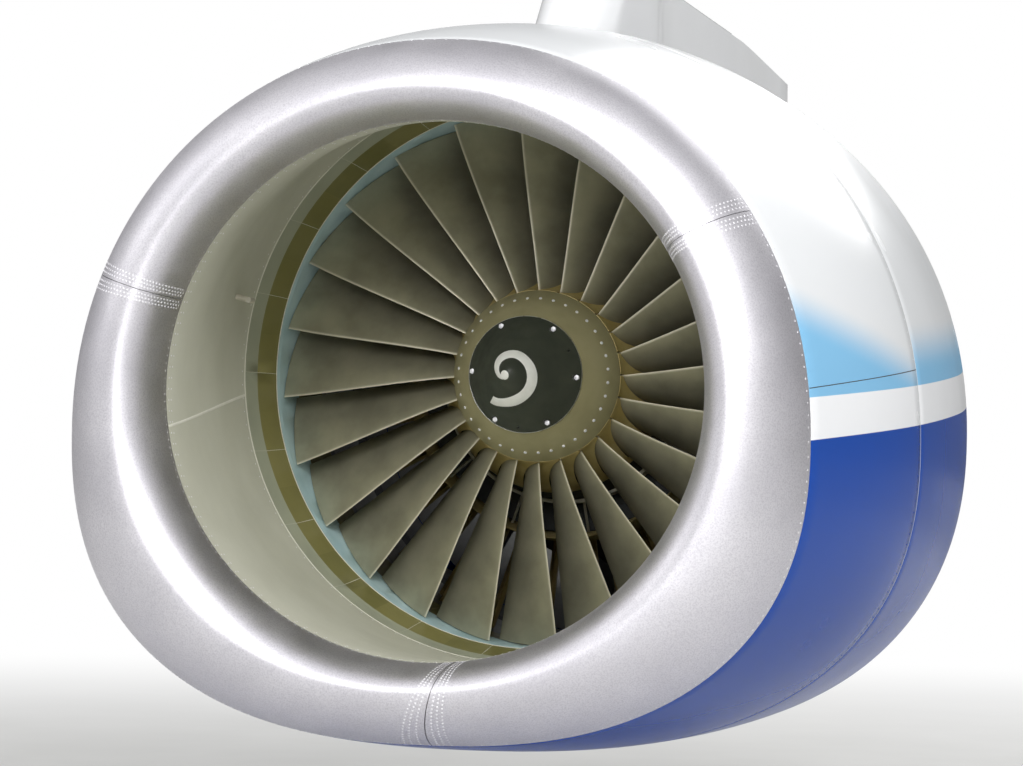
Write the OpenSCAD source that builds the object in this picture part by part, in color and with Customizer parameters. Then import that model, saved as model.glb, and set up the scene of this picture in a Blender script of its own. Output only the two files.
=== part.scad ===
// High-bypass turbofan in its under-wing nacelle, as one reusable assembly.
// The engine axis runs along Y with the intake towards -Y, and +Z is up.
// The origin is the forward mount on top of the support beam.
// Stations are counted along the axis from the fan blades' leading tips.

/* [Fan] */
// Diameter over the fan blade tips
fan_d = 1542; // [1534:1:1550]
// Number of fan blades
blade_n = 24; // [22:1:26]
// Radial gap between the blade tips and the abradable ring
tip_gap = 3; // [2:0.5:5]
// Blade chord at the tip
tip_chord = 232; // [215:1:240]
// Blade chord at the root
root_chord = 190; // [175:1:200]
// Angle of the tip chord from the engine axis
tip_stagger = 61; // [56:1:64]
// Angle of the root chord from the engine axis
root_stagger = 20; // [14:1:26]
// Greatest blade thickness at the root
root_thick = 19; // [15:0.5:21]
// Greatest blade thickness at the tip
tip_thick = 6; // [4:0.5:8]
// Radius of the fan hub at the blades' leading edge
hub_front_r = 246; // [242:1:250]
// Radius of the fan hub behind the blades
hub_rear_r = 334; // [328:1:340]
// Outer radius of the fan disk rim
disk_r = 226; // [220:1:230]
// Depth of the blades' dovetail roots in the disk
root_depth = 34; // [28:1:38]

/* [Spinner] */
// Station of the spinner tip
spinner_tip_y = -332; // [-350:1:-320]
// Station of the joint between the two spinner cones
spinner_joint_y = -140; // [-146:1:-132]
// Radius of that joint
spinner_joint_r = 165; // [160:1:170]
// Wall of both spinner cones
spinner_wall = 7; // [5:0.5:9]

/* [Inlet] */
// Station of the inlet lip's foremost edge
lip_y = -1165; // [-1190:1:-1140]
// Station where the lip meets both barrels
joint_y = -995; // [-1010:1:-980]
// Half width of the throat
throat_half_w = 722; // [714:1:730]
// Half height of the throat
throat_half_h = 694; // [688:1:702]
// Drop of the throat's centre below the engine axis
throat_drop = 71; // [60:1:80]
// Inboard shift of the inlet's centre
inlet_toe = 20; // [0:1:30]
// Thickness of the lip skin
lip_skin = 4; // [3:0.5:6]
// Thickness of the acoustic inner barrel
barrel_thick = 25; // [20:1:30]

/* [Nacelle] */
// Greatest half width of the nacelle
cowl_half_w = 1168; // [1155:1:1180]
// Height of the nacelle's crown above the axis
cowl_crown = 1000; // [995:1:1010]
// Depth of the nacelle's keel below the axis
cowl_keel = 1056; // [1040:1:1070]
// Half width where the lip ends
joint_half_w = 985; // [975:1:995]
// Crown height where the lip ends
joint_crown = 832; // [822:1:842]
// Keel depth where the lip ends
joint_keel = 976; // [966:1:986]
// Drop of the widest line below the axis
waist_drop = 185; // [150:1:200]
// Thickness of the cowl skins
cowl_skin = 8; // [6:1:10]
// Station of the seam between inlet and fan cowls
cowl_front_y = -278; // [-290:1:-270]
// Station of the seam between fan cowls and reverser
cowl_rear_y = 700; // [695:1:705]
// Station of the fan nozzle's edge
exit_y = 2350; // [2320:1:2380]
// Outer radius of the fan nozzle's edge
exit_r = 750; // [740:1:760]
// Thickness of the sleeves' outer skin
sleeve_skin = 10; // [8:1:14]
// Height of the strake on the inboard cowl
strake_h = 190; // [150:1:220]

/* [Fan case] */
// Depth of the liners between the blade tips' ring and the fan case
liner_depth = 38; // [36:1:42]
// Wall of the fan case
case_wall = 13; // [10:1:16]
// Height of the case flanges above the inner face of the case
flange_h = 48; // [40:1:50]
// Number of acoustic panels ahead of the fan
panel_n = 22; // [16:1:24]
// Number of outlet guide vanes
vane_n = 56; // [50:2:60]
// Number of fan frame struts
strut_n = 12; // [12:12:12]
// Thickness of a fan frame strut
strut_thick = 44; // [40:1:50]

/* [Core] */
// Radius of the splitter's nose
splitter_r = 468; // [464:1:472]
// Number of booster inlet vanes
booster_vane_n = 36; // [30:2:44]
// Outer radius of the low pressure shaft
lp_shaft_r = 56; // [52:1:60]
// Outer radius of the fan shaft in its bearings
fan_shaft_r = 110; // [104:1:114]
// Number of fuel nozzles
nozzle_n = 20; // [16:2:22]
// Radial play of the shafts in their bearings
shaft_play = 0.05; // [0.03:0.01:0.08]
// Radius of the radial drive shaft
drive_r = 13; // [11:0.5:14]
// Clock angle of the radial drive shaft
drive_clock = 120; // [120:30:120]

/* [Reverser] */
// Travel of the translating sleeves
sleeve_travel = 480; // [460:5:490]
// How far the bypass duct's outer wall lies outside the ring round the blade tips
duct_rise = 23; // [21:1:25]
// Blocker door length
door_len = 225; // [215:1:230]
// Blocker door thickness
door_thick = 21; // [18:1:24]
// Number of blocker doors in each half
door_n = 4; // [4:1:4]
// Greatest radius of the core cowl
core_cowl_r = 592; // [580:1:595]
// Thickness of the core cowl
core_cowl_thick = 12; // [8:1:14]
// Slope of the reverser's hinge line, down towards the rear, in degrees
rev_tilt = 5.6; // [5:0.1:6]

/* [Support] */
// Height of the mount face above the engine axis
mount_rise = 1300; // [1290:1:1320]
// Station of the forward mount
mount_y = 770; // [765:1:775]
// Station of the aft mount
aft_mount_y = 2212; // [2206:1:2218]
// Half width of the support beam
beam_half_w = 85; // [80:1:88]
// Half width of the mount fairing
fairing_half_w = 125; // [120:1:127]
// Bolt circle half spacing of each mount
mount_pitch = 60; // [50:1:64]
// Diameter of the mount bolt holes
mount_hole = 24; // [20:1:27]

/* [Hidden] */

$fn = 128;

// Stations and radii that follow from the sizes above
tip_r = fan_d / 2;
shroud_r = tip_r + tip_gap;
case_r = shroud_r + liner_depth;
flange_r = case_r + flange_h;
duct_r = shroud_r + duct_rise;
case_front_y = -235;
case_rear_y = 440;
panel_rear_y = -45;
band_y = -150;
inlet_r = case_r - 7;
band_r = case_r - 14;
panel_r = shroud_r + 3;
frame_rear_y = cowl_rear_y - 1;
hub_len = 205;
disk_front_y = -10;
disk_rear_y = 175;
shaft_flange_y = 158;
root_tilt = 5;
splitter_y = 270;
vane_ring_r = splitter_r + 10;
drive_y = 632;
hub_flange_y = 800;
comp_rear_y = 1400;
comb_rear_y = 1720;
turb_rear_y = 2160;
trf_len = 120;
trf_rear_y = turb_rear_y + trf_len;
rear_bearing_y = trf_rear_y - 76;
widest_y = 300;
seat = 0.3;

// Hinge lines of the cowls, measured from the engine axis
top_gap = 150;
keel_gap = 3;
hinge_x = 140;
cowl_hinge_z = cowl_crown - 25;
rev_hinge_z = cowl_crown - 37;
lug_r = 9;
pin_r = 5;
beam_top_z = cowl_crown - 12.5;

// Widths of the walls that close the bypass duct above and below the core
upper_wall_x = 140;
lower_wall_x = 60;
wall_thick = 8;

// Colours
metal_lip = "#c9cbce";
white_paint = "#f2f4f5";
blue_paint = "#1d4f9c";
barrel_green = "#7f8a80";
olive = "#6a6a4c";
pale_blue = "#9dc0cf";
titanium = "#8b8468";
gold = "#a08a52";
dark_cone = "#2c302c";
steel = "#8f9296";
dark_steel = "#5c5f62";
alloy = "#b4b6b4";
hot_metal = "#7a6a5a";

// Plain helpers
function mix(a, b, u) = a + (b - a) * u;
function ease(u) = u * u * (3 - 2 * u);
function clamp01(u) = min(1, max(0, u));
function spow(v, p) = sign(v) * pow(abs(v), p);

// Nacelle section: a superellipse, rounder above its waist than below
fore_power = 2.2;
side_power = 1.6;
crown_power = 2.2;
top_power = 2.06;
keel_power = 2.4;
function fore(y) = pow(max(0, (widest_y - y) / (widest_y - joint_y)), fore_power);
function aft(y, p) = pow(max(0, (y - widest_y) / (exit_y - widest_y)), p);
function half_w(y) = cowl_half_w
    - (cowl_half_w - joint_half_w) * fore(y)
    - (cowl_half_w - exit_r) * aft(y, side_power);
function crown(y) = cowl_crown
    - (cowl_crown - joint_crown) * fore(y)
    - (cowl_crown - exit_r) * aft(y, crown_power);
function keel(y) = cowl_keel
    - (cowl_keel - joint_keel) * fore(y)
    - (cowl_keel - exit_r) * aft(y, side_power);
function waist(y) = waist_drop * (1 - aft(y, 1));
function shift(y) = -inlet_toe * ease(clamp01((cowl_front_y - y) / (cowl_front_y - joint_y)));
function low_power(y) = mix(keel_power, 2, clamp01(aft(y, 1)));
function skin_pt(y, t, inset = 0) =
    let (up = sin(t) >= 0)
    let (n = up ? top_power : low_power(y))
    let (h = up ? crown(y) + waist(y) : keel(y) - waist(y))
    [shift(y) + (half_w(y) - inset) * spow(cos(t), 2 / n), y,
     -waist(y) + (h - inset) * spow(sin(t), 2 / n)];

// Section angles at which the skin meets a plane of constant x
function top_t(y, x, inset = 0) = acos(pow(x / (half_w(y) - inset), top_power / 2));
function keel_t(y, x, inset = 0) = -acos(pow(x / (half_w(y) - inset), low_power(y) / 2));

// Inlet duct: a drooped oval throat that opens into the round fan case
function duct_pt(y, t, out = 0) =
    let (u = ease(clamp01((y - joint_y) / (case_front_y - joint_y))))
    [mix(-inlet_toe, 0, u) + (mix(throat_half_w, inlet_r, u) + out) * cos(t), y,
     mix(-throat_drop, 0, u) + (mix(throat_half_h, inlet_r, u) + out) * sin(t)];

// Moves from the engine axis to the frame of the part
module engine() {
    translate([0, -mount_y, -mount_rise]) children();
}

// Turns an upright solid so that its Z runs aft along the engine axis
module aftwards() {
    rotate([-90, 0, 0]) children();
}

// Places children on a ray at a clock angle seen from the front
module clock(angle) {
    rotate([0, angle, 0]) children();
}

// Revolves a profile of [radius, station] points round the engine axis
module turned(profile) {
    aftwards() rotate_extrude($fn = 256) polygon(profile);
}

// Triangles that close a loop, strung between point j and its opposite, fold - j
function distinct(t) = t[0] != t[1] && t[1] != t[2] && t[2] != t[0];
function cap(n, fold) = [for (j = [0 : floor(n / 2) - 1])
    let (a = j, b = j + 1, c = (fold - j - 1) % n, d = (fold - j) % n)
    for (t = [[a, b, c], [a, c, d]]) if (distinct(t)) t];

// Skins closed loops of equal length, either to a ring or with end caps
module loft(loops, ring = false, fold = -1) {
    n = len(loops[0]);
    m = len(loops);
    sides = [for (i = [0 : m - (ring ? 1 : 2)]) for (j = [0 : n - 1])
        let (k = (i + 1) % m, l = (j + 1) % n)
        each [[i * n + j, k * n + l, i * n + l], [i * n + j, k * n + j, k * n + l]]];
    ends = cap(n, fold < 0 ? n - 1 : fold);
    last = (m - 1) * n;
    caps = ring ? [] : [for (t = ends) each
        [t, [last + t[2], last + t[1], last + t[0]]]];
    polyhedron([for (l = loops) each l], concat(sides, caps), convexity = 8);
}

// Keeps the side of a half cowl that lies beyond its upper and lower walls
module half_cut(side, upper, lower) {
    intersection() {
        children();
        union() {
            translate([side > 0 ? upper : -upper - 2000, -1500, 0]) cube([2000, 5000, 2000]);
            translate([side > 0 ? lower : -lower - 2000, -1500, -2000]) cube([2000, 5000, 2000.5]);
        }
    }
}

// Inlet lip

lip_share = 0.33;
lip_sweep = 65;
lip_steps = 4;
ring_steps = 48;
lip_splices = [[56.6, 60.1], [179.5, 173.3], [293.5, 289.6]];

// One lip section: out over the nose ellipse, through the throat and back inside
function lip_line(t, ti, th) =
    let (o = skin_pt(joint_y, t), i = duct_pt(joint_y, ti), d = norm(o - i), e = (o - i) / d)
    let (fh = lip_share * d, f_out = (d - fh) / sin(lip_sweep))
    let (l_out = (joint_y - lip_y) / (1 - cos(lip_sweep)), l_in = joint_y - lip_y)
    concat(
        [for (k = [lip_steps : -1 : 0]) let (a = lip_sweep * k / lip_steps)
            let (f = fh + (f_out - th) * sin(a), y = lip_y + l_out - (l_out - th) * cos(a))
            [i[0] + e[0] * f, min(y, joint_y), i[2] + e[2] * f]],
        [for (k = [1 : lip_steps]) let (b = 90 * k / lip_steps)
            let (f = fh - (fh - th) * sin(b), y = lip_y + l_in - (l_in - th) * cos(b))
            [i[0] + e[0] * f, y, i[2] + e[2] * f]]);

function reversed(v) = [for (i = [len(v) - 1 : -1 : 0]) v[i]];

module inlet_lip(from, to) {
    steps = round((to[0] - from[0]) * ring_steps / 360);
    color(metal_lip) engine() loft([for (i = [0 : steps])
        let (t = 90 - mix(from[0], to[0], i / steps), ti = 90 - mix(from[1], to[1], i / steps))
        concat(lip_line(t, ti, 0), reversed(lip_line(t, ti, lip_skin)))]);
}

module inlet_lip_upper() {
    inlet_lip(lip_splices[2] - [360, 360], lip_splices[0]);
}

module inlet_lip_outboard() {
    inlet_lip(lip_splices[0], lip_splices[1]);
}

module inlet_lip_inboard() {
    inlet_lip(lip_splices[1], lip_splices[2]);
}

// Inlet barrels and bulkheads

barrel_stations = 4;

module inlet_outer_barrel() {
    ys = [for (i = [0 : barrel_stations]) mix(joint_y, cowl_front_y, i / barrel_stations)];
    color(white_paint) engine() loft([for (i = [0 : ring_steps - 1])
        let (t = 90 - 360 * i / ring_steps)
        concat([for (y = reversed(ys)) skin_pt(y, t)], [for (y = ys) skin_pt(y, t, cowl_skin)])],
        ring = true);
}

function barrel_y(i) = mix(joint_y, case_front_y - 1, i / barrel_stations);

// A point of the barrel's skin, which runs straight from station to station
function barrel_pt(y, t, out = 0) =
    let (f = (y - joint_y) / (barrel_y(1) - joint_y), k = floor(f))
    mix(duct_pt(barrel_y(k), t, out), duct_pt(barrel_y(k + 1), t, out), f - k);

module inlet_inner_barrel() {
    ys = [for (i = [0 : barrel_stations]) barrel_y(i)];
    color(barrel_green) engine() loft([for (i = [0 : ring_steps - 1])
        let (t = 90 - 360 * i / ring_steps)
        concat([for (y = ys) duct_pt(y, t)], [for (y = reversed(ys)) duct_pt(y, t, barrel_thick)])],
        ring = true);
}

function flat(pts) = [for (p = pts) [p[0], p[2]]];

// A sheet across the nacelle at one station, with a hole for the duct
module bulkhead_sheet(y, thick, outer, hole) {
    n = len(outer);
    translate([0, y + thick, 0]) rotate([90, 0, 0]) linear_extrude(thick)
        polygon(concat(flat(outer), flat(hole)),
            [[for (i = [0 : n - 1]) i], [for (i = [0 : len(hole) - 1]) n + i]]);
}

bulkhead_thick = 5;

module forward_bulkhead() {
    y = joint_y + 3;
    ts = [for (i = [0 : ring_steps - 1]) 90 - 360 * i / ring_steps];
    color(alloy) engine() bulkhead_sheet(y, bulkhead_thick,
        [for (t = ts) skin_pt(y, t, cowl_skin + seat)],
        [for (t = ts) barrel_pt(y + bulkhead_thick, t, barrel_thick + seat)]);
}

module aft_bulkhead() {
    y = cowl_front_y - bulkhead_thick - 2;
    ts = [for (i = [0 : ring_steps - 1]) 90 - 360 * i / ring_steps];
    ring_in = inlet_r + barrel_thick + seat;
    color(alloy) engine() union() {
        difference() {
            bulkhead_sheet(y, bulkhead_thick,
                [for (t = ts) skin_pt(y, t, cowl_skin + seat)],
                [for (t = ts) [850 * cos(t), y, 850 * sin(t)]]);
        }
        turned([[ring_in, y], [852, y], [852, y + bulkhead_thick], [ring_in + 7, y + bulkhead_thick],
            [ring_in + 7, case_front_y - 14], [flange_r, case_front_y - 14],
            [flange_r, case_front_y - seat], [ring_in, case_front_y - seat]]);
    }
}

module inlet_bulkheads() {
    forward_bulkhead();
    aft_bulkhead();
}

probe_y = -435;
probe_clock = 285;
probe_h = 46;

module temperature_probe() {
    p = barrel_pt(probe_y, 90 - probe_clock);
    r = norm([p[0], p[2]]);
    color(steel) engine() translate([0, probe_y, 0]) clock(probe_clock) {
        translate([0, 0, r - probe_h]) union() {
            scale([1, 1.4, 1]) cylinder(h = probe_h - 4.1, r = 8, $fn = 32);
            translate([0, -16, 0]) aftwards() cylinder(h = 34, r = 8, $fn = 32);
        }
    }
}

// Fan case and its liners

module fan_case() {
    r0 = case_r;
    r1 = case_r + case_wall;
    color(steel) engine() turned([[r0, case_front_y], [flange_r, case_front_y],
        [flange_r, case_front_y + 13], [r1, case_front_y + 19], [r1, -125], [r1 + 12, -110],
        [r1 + 12, 0], [flange_r - 8, 4], [flange_r - 8, 14], [r1 + 12, 18], [r1 + 12, 150],
        [r1, 165], [r1, 250], [flange_r - 8, 254], [flange_r - 8, 264], [r1, 268],
        [r1, case_rear_y - 19], [flange_r, case_rear_y - 13], [flange_r, case_rear_y],
        [790, case_rear_y], [790, case_rear_y - 38], [r0, case_rear_y - 38]]);
}

panel_joint = 1.2;

// A run of curved panels laid edge to edge round the case
module panel_ring(n, profile, gap_mm) {
    r = profile[0][0];
    gap = gap_mm / r * 180 / PI;
    for (i = [0 : n - 1])
        clock(i * 360 / n) aftwards() rotate([0, 0, gap / 2])
            rotate_extrude(angle = 360 / n - gap, $fn = 144) polygon(profile);
}

module acoustic_panels() {
    out = case_r - seat;
    color(olive) engine() {
        panel_ring(panel_n, [[inlet_r, case_front_y + 1], [out, case_front_y + 1],
            [out, panel_rear_y - 1], [panel_r, panel_rear_y - 1], [band_r, band_y]], panel_joint);
        panel_ring(6, [[790, 166], [out, 166], [out, case_rear_y - 39],
            [790, case_rear_y - 39]], panel_joint);
    }
}

module abradable_shroud() {
    out = case_r - seat;
    color(pale_blue) engine() turned([[panel_r, panel_rear_y], [out, panel_rear_y],
        [out, 165], [case_r - 22, 165], [shroud_r, 140], [shroud_r, -25]]);
}

// Fan blades: twisted sections from the dovetail to the tip

blade_us = [0.1, 0.36, 0.66, 0.88];
blade_spans = [0, 0.1, 0.24, 0.5, 0.76, 1];
blade_root_r = disk_r + 10;
neck_w = 22;
foot_w = 32;
blade_lean = 4;
tip_clock = 10;

function span(r) = (r - blade_root_r) / (tip_r - blade_root_r);
function chord(s) = mix(root_chord, tip_chord, pow(s, 1.4));
function stagger(s) = mix(root_stagger, tip_stagger, pow(s, 0.85));
function thick(s) = mix(root_thick, tip_thick, pow(s, 0.8));
function camber(s) = mix(0.085, 0.015, s);
function lead_y(s) = 8 * (1 - s) - 60 * s * (1 - s);
function lean(s) = blade_lean * (1 - s) * (1 - s);
function half_thick(u, s) = thick(s) / 2 * pow(sin(180 * pow(u, 0.8)), 0.7);

// A point at chord share u and side offset, as [angle share in mm, station]
function blade_mm(u, s, side) =
    let (c = chord(s), g = stagger(s), h = 4 * camber(s) * c * u * (1 - u) + side * half_thick(u, s))
    [c * u * sin(g) + h * cos(g), lead_y(s) + c * u * cos(g) - h * sin(g)];

function blade_pt(u, s, side) =
    let (r = mix(blade_root_r, tip_r, s), p = blade_mm(u, s, side))
    let (a = lean(s) + (p[0] - tip_lead * s) / r * 180 / PI)
    [r * sin(a), p[1], r * cos(a)];

tip_lead = 0;

function blade_loop(s) = concat(
    [blade_pt(0, s, 0)], [for (u = blade_us) blade_pt(u, s, 1)],
    [blade_pt(1, s, 0)], [for (u = reversed(blade_us)) blade_pt(u, s, -1)]);

// The dovetail has the same number of points as an airfoil section
function root_pt(x, y, r) =
    [r * sin(root_clock()) + x * cos(root_clock()), y, r * cos(root_clock()) - x * sin(root_clock())];
function root_loop(r, w) =
    let (us = concat([0], blade_us, [1]))
    concat([for (i = [0 : 5]) root_pt(w / 2, mix(disk_front_y, disk_rear_y, us[i]), r)],
        [for (i = [4 : -1 : 1]) root_pt(-w / 2, mix(disk_front_y, disk_rear_y, us[i]), r)]);

// Clock angle from a blade's leading tip to the middle of its dovetail
function root_clock() = blade_lean + root_chord / 2 * sin(root_stagger) / blade_root_r * 180 / PI;

module fan_blade() {
    loops = concat([root_loop(disk_r - root_depth, foot_w), root_loop(disk_r + 1, neck_w)],
        [for (s = blade_spans) blade_loop(s)]);
    loft(loops, fold = len(loops[0]));
}

module fan_blades() {
    color(titanium) engine() for (i = [0 : blade_n - 1])
        clock(tip_clock + i * 360 / blade_n) fan_blade();
}

module fan_disk() {
    bore = fan_shaft_r - 20;
    color(steel) engine() difference() {
        turned([[bore, 30], [bore, shaft_flange_y - seat], [bore + 45, shaft_flange_y - seat], [bore + 55, 125],
            [disk_r - root_depth - 16, 125], [disk_r - root_depth - 12, disk_rear_y],
            [disk_r, disk_rear_y], [disk_r, disk_front_y],
            [disk_r - root_depth - 12, disk_front_y], [disk_r - root_depth - 16, 45],
            [bore + 55, 45], [bore + 40, 20]]);
        for (i = [0 : blade_n - 1])
            clock(tip_clock + i * 360 / blade_n + root_clock()) dovetail_slot();
    }
}

module dovetail_slot() {
    c = 0.4;
    r0 = disk_r - root_depth - c;
    r1 = disk_r + 1;
    translate([0, disk_rear_y + 5, 0]) rotate([90, 0, 0]) linear_extrude(disk_rear_y - disk_front_y + 10)
        polygon([[-foot_w / 2 - c, r0], [foot_w / 2 + c, r0], [neck_w / 2 + c, r1],
            [neck_w / 2 + c, disk_r + 5], [-neck_w / 2 - c, disk_r + 5], [-neck_w / 2 - c, r1]]);
}

// Platforms between the blade roots carry the flow over the disk

platform_thick = 8;
platform_play = 3;
hub_front_y = -16;
platform_rear_y = 198;
platform_stations = [0, 0.11, 0.21, 0.4, 0.63, 0.81, 1];

function hub_r(y) =
    mix(hub_front_r, hub_rear_r, ease(clamp01((y - hub_front_y) / (hub_len - hub_front_y))));

// Clock angle of the lofted blade's flank at a radius and station
function flank(y, r, side) =
    let (s = max(0.001, span(r)), us = concat([0], blade_us, [1]))
    let (k = [for (i = [0 : len(blade_spans) - 2]) if (s > blade_spans[i]) i], a = k[len(k) - 1])
    let (v = (s - blade_spans[a]) / (blade_spans[a + 1] - blade_spans[a]))
    let (pts = [for (u = us) mix(blade_pt(u, blade_spans[a], side), blade_pt(u, blade_spans[a + 1], side), v)])
    lookup(y, [for (p = pts) [p[1], atan2(p[0], p[2])]]);

function platform_loop(v) =
    let (y = mix(hub_front_y, platform_rear_y, v), r = hub_r(y), gap = platform_play / r * 180 / PI)
    let (a = [for (q = [0, platform_thick]) flank(y, r - q, 1) + gap])
    let (b = [for (q = [0, platform_thick]) 360 / blade_n + flank(y, r - q, -1) - gap])
    [for (p = [[a[0], 0], [(a[0] + b[0]) / 2, 0], [b[0], 0], [b[1], 1], [(a[1] + b[1]) / 2, 1], [a[1], 1]])
        let (q = r - p[1] * platform_thick) [q * sin(p[0]), y, q * cos(p[0])]];

module blade_platforms() {
    color(gold) engine() for (i = [0 : blade_n - 1])
        clock(tip_clock + i * 360 / blade_n)
            loft([for (v = platform_stations) platform_loop(v)]);
}

// Spinner

cone_rim = 4;
rear_cone_y = hub_front_y - 1;

bolt_seat_y = spinner_joint_y - 9;

module spinner_front_cone() {
    w = spinner_wall;
    jr = spinner_joint_r;
    jy = spinner_joint_y;
    ty = spinner_tip_y;
    color(dark_cone) engine() difference() {
        turned([[0, ty], [10, ty + 3], [22, ty + 12], [jr * 0.55, mix(ty, jy, 0.49)],
            [jr, jy - cone_rim], [jr, jy], [jr - 22, jy], [jr - 22, jy - 6],
            [jr * 0.55 - w, mix(ty, jy, 0.49) + w], [20 - w, ty + 14 + w], [0, ty + w + 6]]);
        spinner_bolt_ring(bolt_seat_y - 30, 9, 30);
        spinner_bolt_ring(bolt_seat_y - 1, bolt_r + 0.3, 12);
    }
}

module spinner_rear_cone() {
    w = spinner_wall;
    jr = spinner_joint_r;
    jy = spinner_joint_y + seat;
    color(olive) engine() difference() {
        turned([[jr - 22, jy], [jr, jy], [hub_front_r - 2, rear_cone_y - 8], [hub_front_r - 1, rear_cone_y],
            [hub_front_r - 14, rear_cone_y], [disk_r - 18, disk_front_y - seat],
            [disk_r - 42, disk_front_y - seat], [disk_r - 42, disk_front_y - 12],
            [disk_r - 20, rear_cone_y - 14], [jr - 2, jy + w + 8], [jr - 22, jy + w]]);
        spinner_bolt_ring(spinner_joint_y - 1, bolt_r + 0.3, 30);
    }
}

spinner_bolt_n = 6;

bolt_r = 4.9;

module spinner_bolt_ring(y, r, h) {
    for (i = [0 : spinner_bolt_n - 1])
        clock(i * 360 / spinner_bolt_n + 33)
            translate([0, y, spinner_joint_r - 13]) aftwards() cylinder(h = h, r = r, $fn = 32);
}

module spinner_bolts() {
    color(alloy) engine() union() {
        spinner_bolt_ring(bolt_seat_y - 8 - seat, 8, 8);
        spinner_bolt_ring(bolt_seat_y - 1, bolt_r, 22);
    }
}

// Booster and bypass stators

ogv_front_y = case_rear_y + 8;
ogv_rear_y = 562;
booster_vane_front_y = 292;
booster_r = 454;

module splitter_case() {
    color(alloy) engine() turned([[splitter_r, splitter_y], [splitter_r + 4, splitter_y + 18],
        [vane_ring_r, splitter_y + 70], [vane_ring_r, ogv_front_y - 8 - seat],
        [vane_ring_r - 8 - seat, ogv_front_y - 8 - seat], [vane_ring_r - 8 - seat, ogv_rear_y - seat],
        [booster_r, ogv_rear_y - seat], [booster_r, splitter_y + 60],
        [splitter_r - 6, splitter_y + 14], [splitter_r - 2, splitter_y + 2]]);
}

// Outline of a cambered vane of unit chord, leading edge at the origin
function vane_outline(c, th, bend) = concat(
    [for (u = [0 : 0.2 : 1]) [u * c, 4 * bend * u * (1 - u) + th / 2 * sin(180 * pow(u, 0.75))]],
    [for (u = [0.8 : -0.2 : 0.2]) [u * c, 4 * bend * u * (1 - u) - th / 2 * sin(180 * pow(u, 0.75))]]);

// A straight vane standing on a radius, turned by its setting angle
module vane(r0, r1, y, c, th, bend, turn) {
    translate([0, y, r0]) rotate([0, 0, 90 + turn]) linear_extrude(r1 - r0)
        polygon(vane_outline(c, th, bend));
}

module booster_vanes() {
    drum_r = 366;
    color(dark_steel) engine() union() {
        turned([[drum_r - 10, booster_vane_front_y - 2], [drum_r - 1, booster_vane_front_y - 2],
            [drum_r + 2, 344], [drum_r - 10, 344]]);
        for (i = [0 : booster_vane_n - 1])
            clock(i * 360 / booster_vane_n)
                vane(drum_r - 4, booster_r - 0.6, booster_vane_front_y + 2, 48, 6, 5, -16);
    }
}

module outlet_guide_vanes() {
    color(gold) engine() union() {
        turned([[vane_ring_r - 8, ogv_front_y - 8], [vane_ring_r, ogv_front_y - 8],
            [vane_ring_r, ogv_rear_y], [vane_ring_r - 8, ogv_rear_y]]);
        for (i = [0 : vane_n - 1])
            clock(i * 360 / vane_n)
                vane(vane_ring_r - 3, 788.6, ogv_front_y, 108, 7, 17, -20);
    }
}

booster_rows = [364, 424, 484];
booster_row_len = 28;

module booster_rotor() {
    bore = fan_shaft_r + 8;
    rows = [for (y = booster_rows) each [[398, y], [booster_r - 4, y],
        [booster_r - 4, y + booster_row_len], [398, y + booster_row_len]]];
    color(steel) engine() turned(concat(
        [[bore, disk_rear_y + 1 + seat], [bore + 45, disk_rear_y + 1 + seat], [bore + 60, disk_rear_y + 10],
         [disk_r + 10, disk_rear_y + 18], [hub_rear_r - 14, platform_rear_y + seat], [hub_rear_r, platform_rear_y + seat],
         [hub_rear_r + 6, hub_len + 30], [352, 286], [352, 348], [372, 352], [398, 358]],
        rows,
        [[398, 530], [386, 530], [386, 364], [366, 362], [338, 352], [338, 292],
         [hub_rear_r - 8, hub_len + 30], [hub_rear_r - 18, 216], [disk_r + 10, disk_rear_y + 30],
         [bore + 55, disk_rear_y + 22], [bore, disk_rear_y + 14]]));
}

// Fan frame: outer ring, struts, hub, core inlet duct and bearing seats

strut_front_y = 575;
strut_len = 116;
goose_n = 8;

module strut(r0, r1, y, c, th) {
    translate([0, y, r0]) rotate([0, 0, 90]) linear_extrude(r1 - r0)
        polygon(vane_outline(c, th, 0));
}

bearing_out_r = fan_shaft_r + 42;
core_bearing_in = 72;
core_bearing_out = 104;

module fan_frame() {
    outer = case_r + 8;
    color(alloy) engine() difference() {
        union() {
            turned([[case_r - 22, case_rear_y + seat], [flange_r, case_rear_y + seat], [flange_r, case_rear_y + 13],
                [outer, case_rear_y + 19], [outer, 560], [outer + 14, 566], [outer + 14, 690],
                [outer + 6, frame_rear_y], [790, frame_rear_y]]);
            turned([[vane_ring_r, ogv_rear_y + seat], [vane_ring_r, 700], [462, 706], [452, 770],
                [460, 776], [460, hub_flange_y], [340, hub_flange_y], [340, 790], [352, 770],
                [booster_r, 600], [booster_r, ogv_rear_y + seat]]);
            turned([[398, 540], [392, 600], [286, 770], [278, hub_flange_y], [core_bearing_out + 12, hub_flange_y],
                [core_bearing_out + 12, 828], [core_bearing_out, 828], [core_bearing_out, 786],
                [core_bearing_out + 12, 778], [266, 776], [272, 764], [376, 604], [210, 578],
                [bearing_out_r + 10, 586], [bearing_out_r, 586], [bearing_out_r, 400],
                [bearing_out_r + 10, 400], [bearing_out_r + 10, 560], [208, 562], [376, 590], [386, 540]]);
            for (i = [0 : strut_n - 1])
                clock(i * 360 / strut_n) strut(vane_ring_r - 6, 794, strut_front_y, strut_len, strut_thick);
            for (i = [0 : goose_n - 1])
                clock((i + 0.5) * 360 / goose_n) strut(360, booster_r + 4, 600, 70, 16);
        }
        clock(drive_clock) translate([0, drive_y, 150]) cylinder(h = 800, r = drive_r + 2.5, $fn = 48);
    }
}

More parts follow.
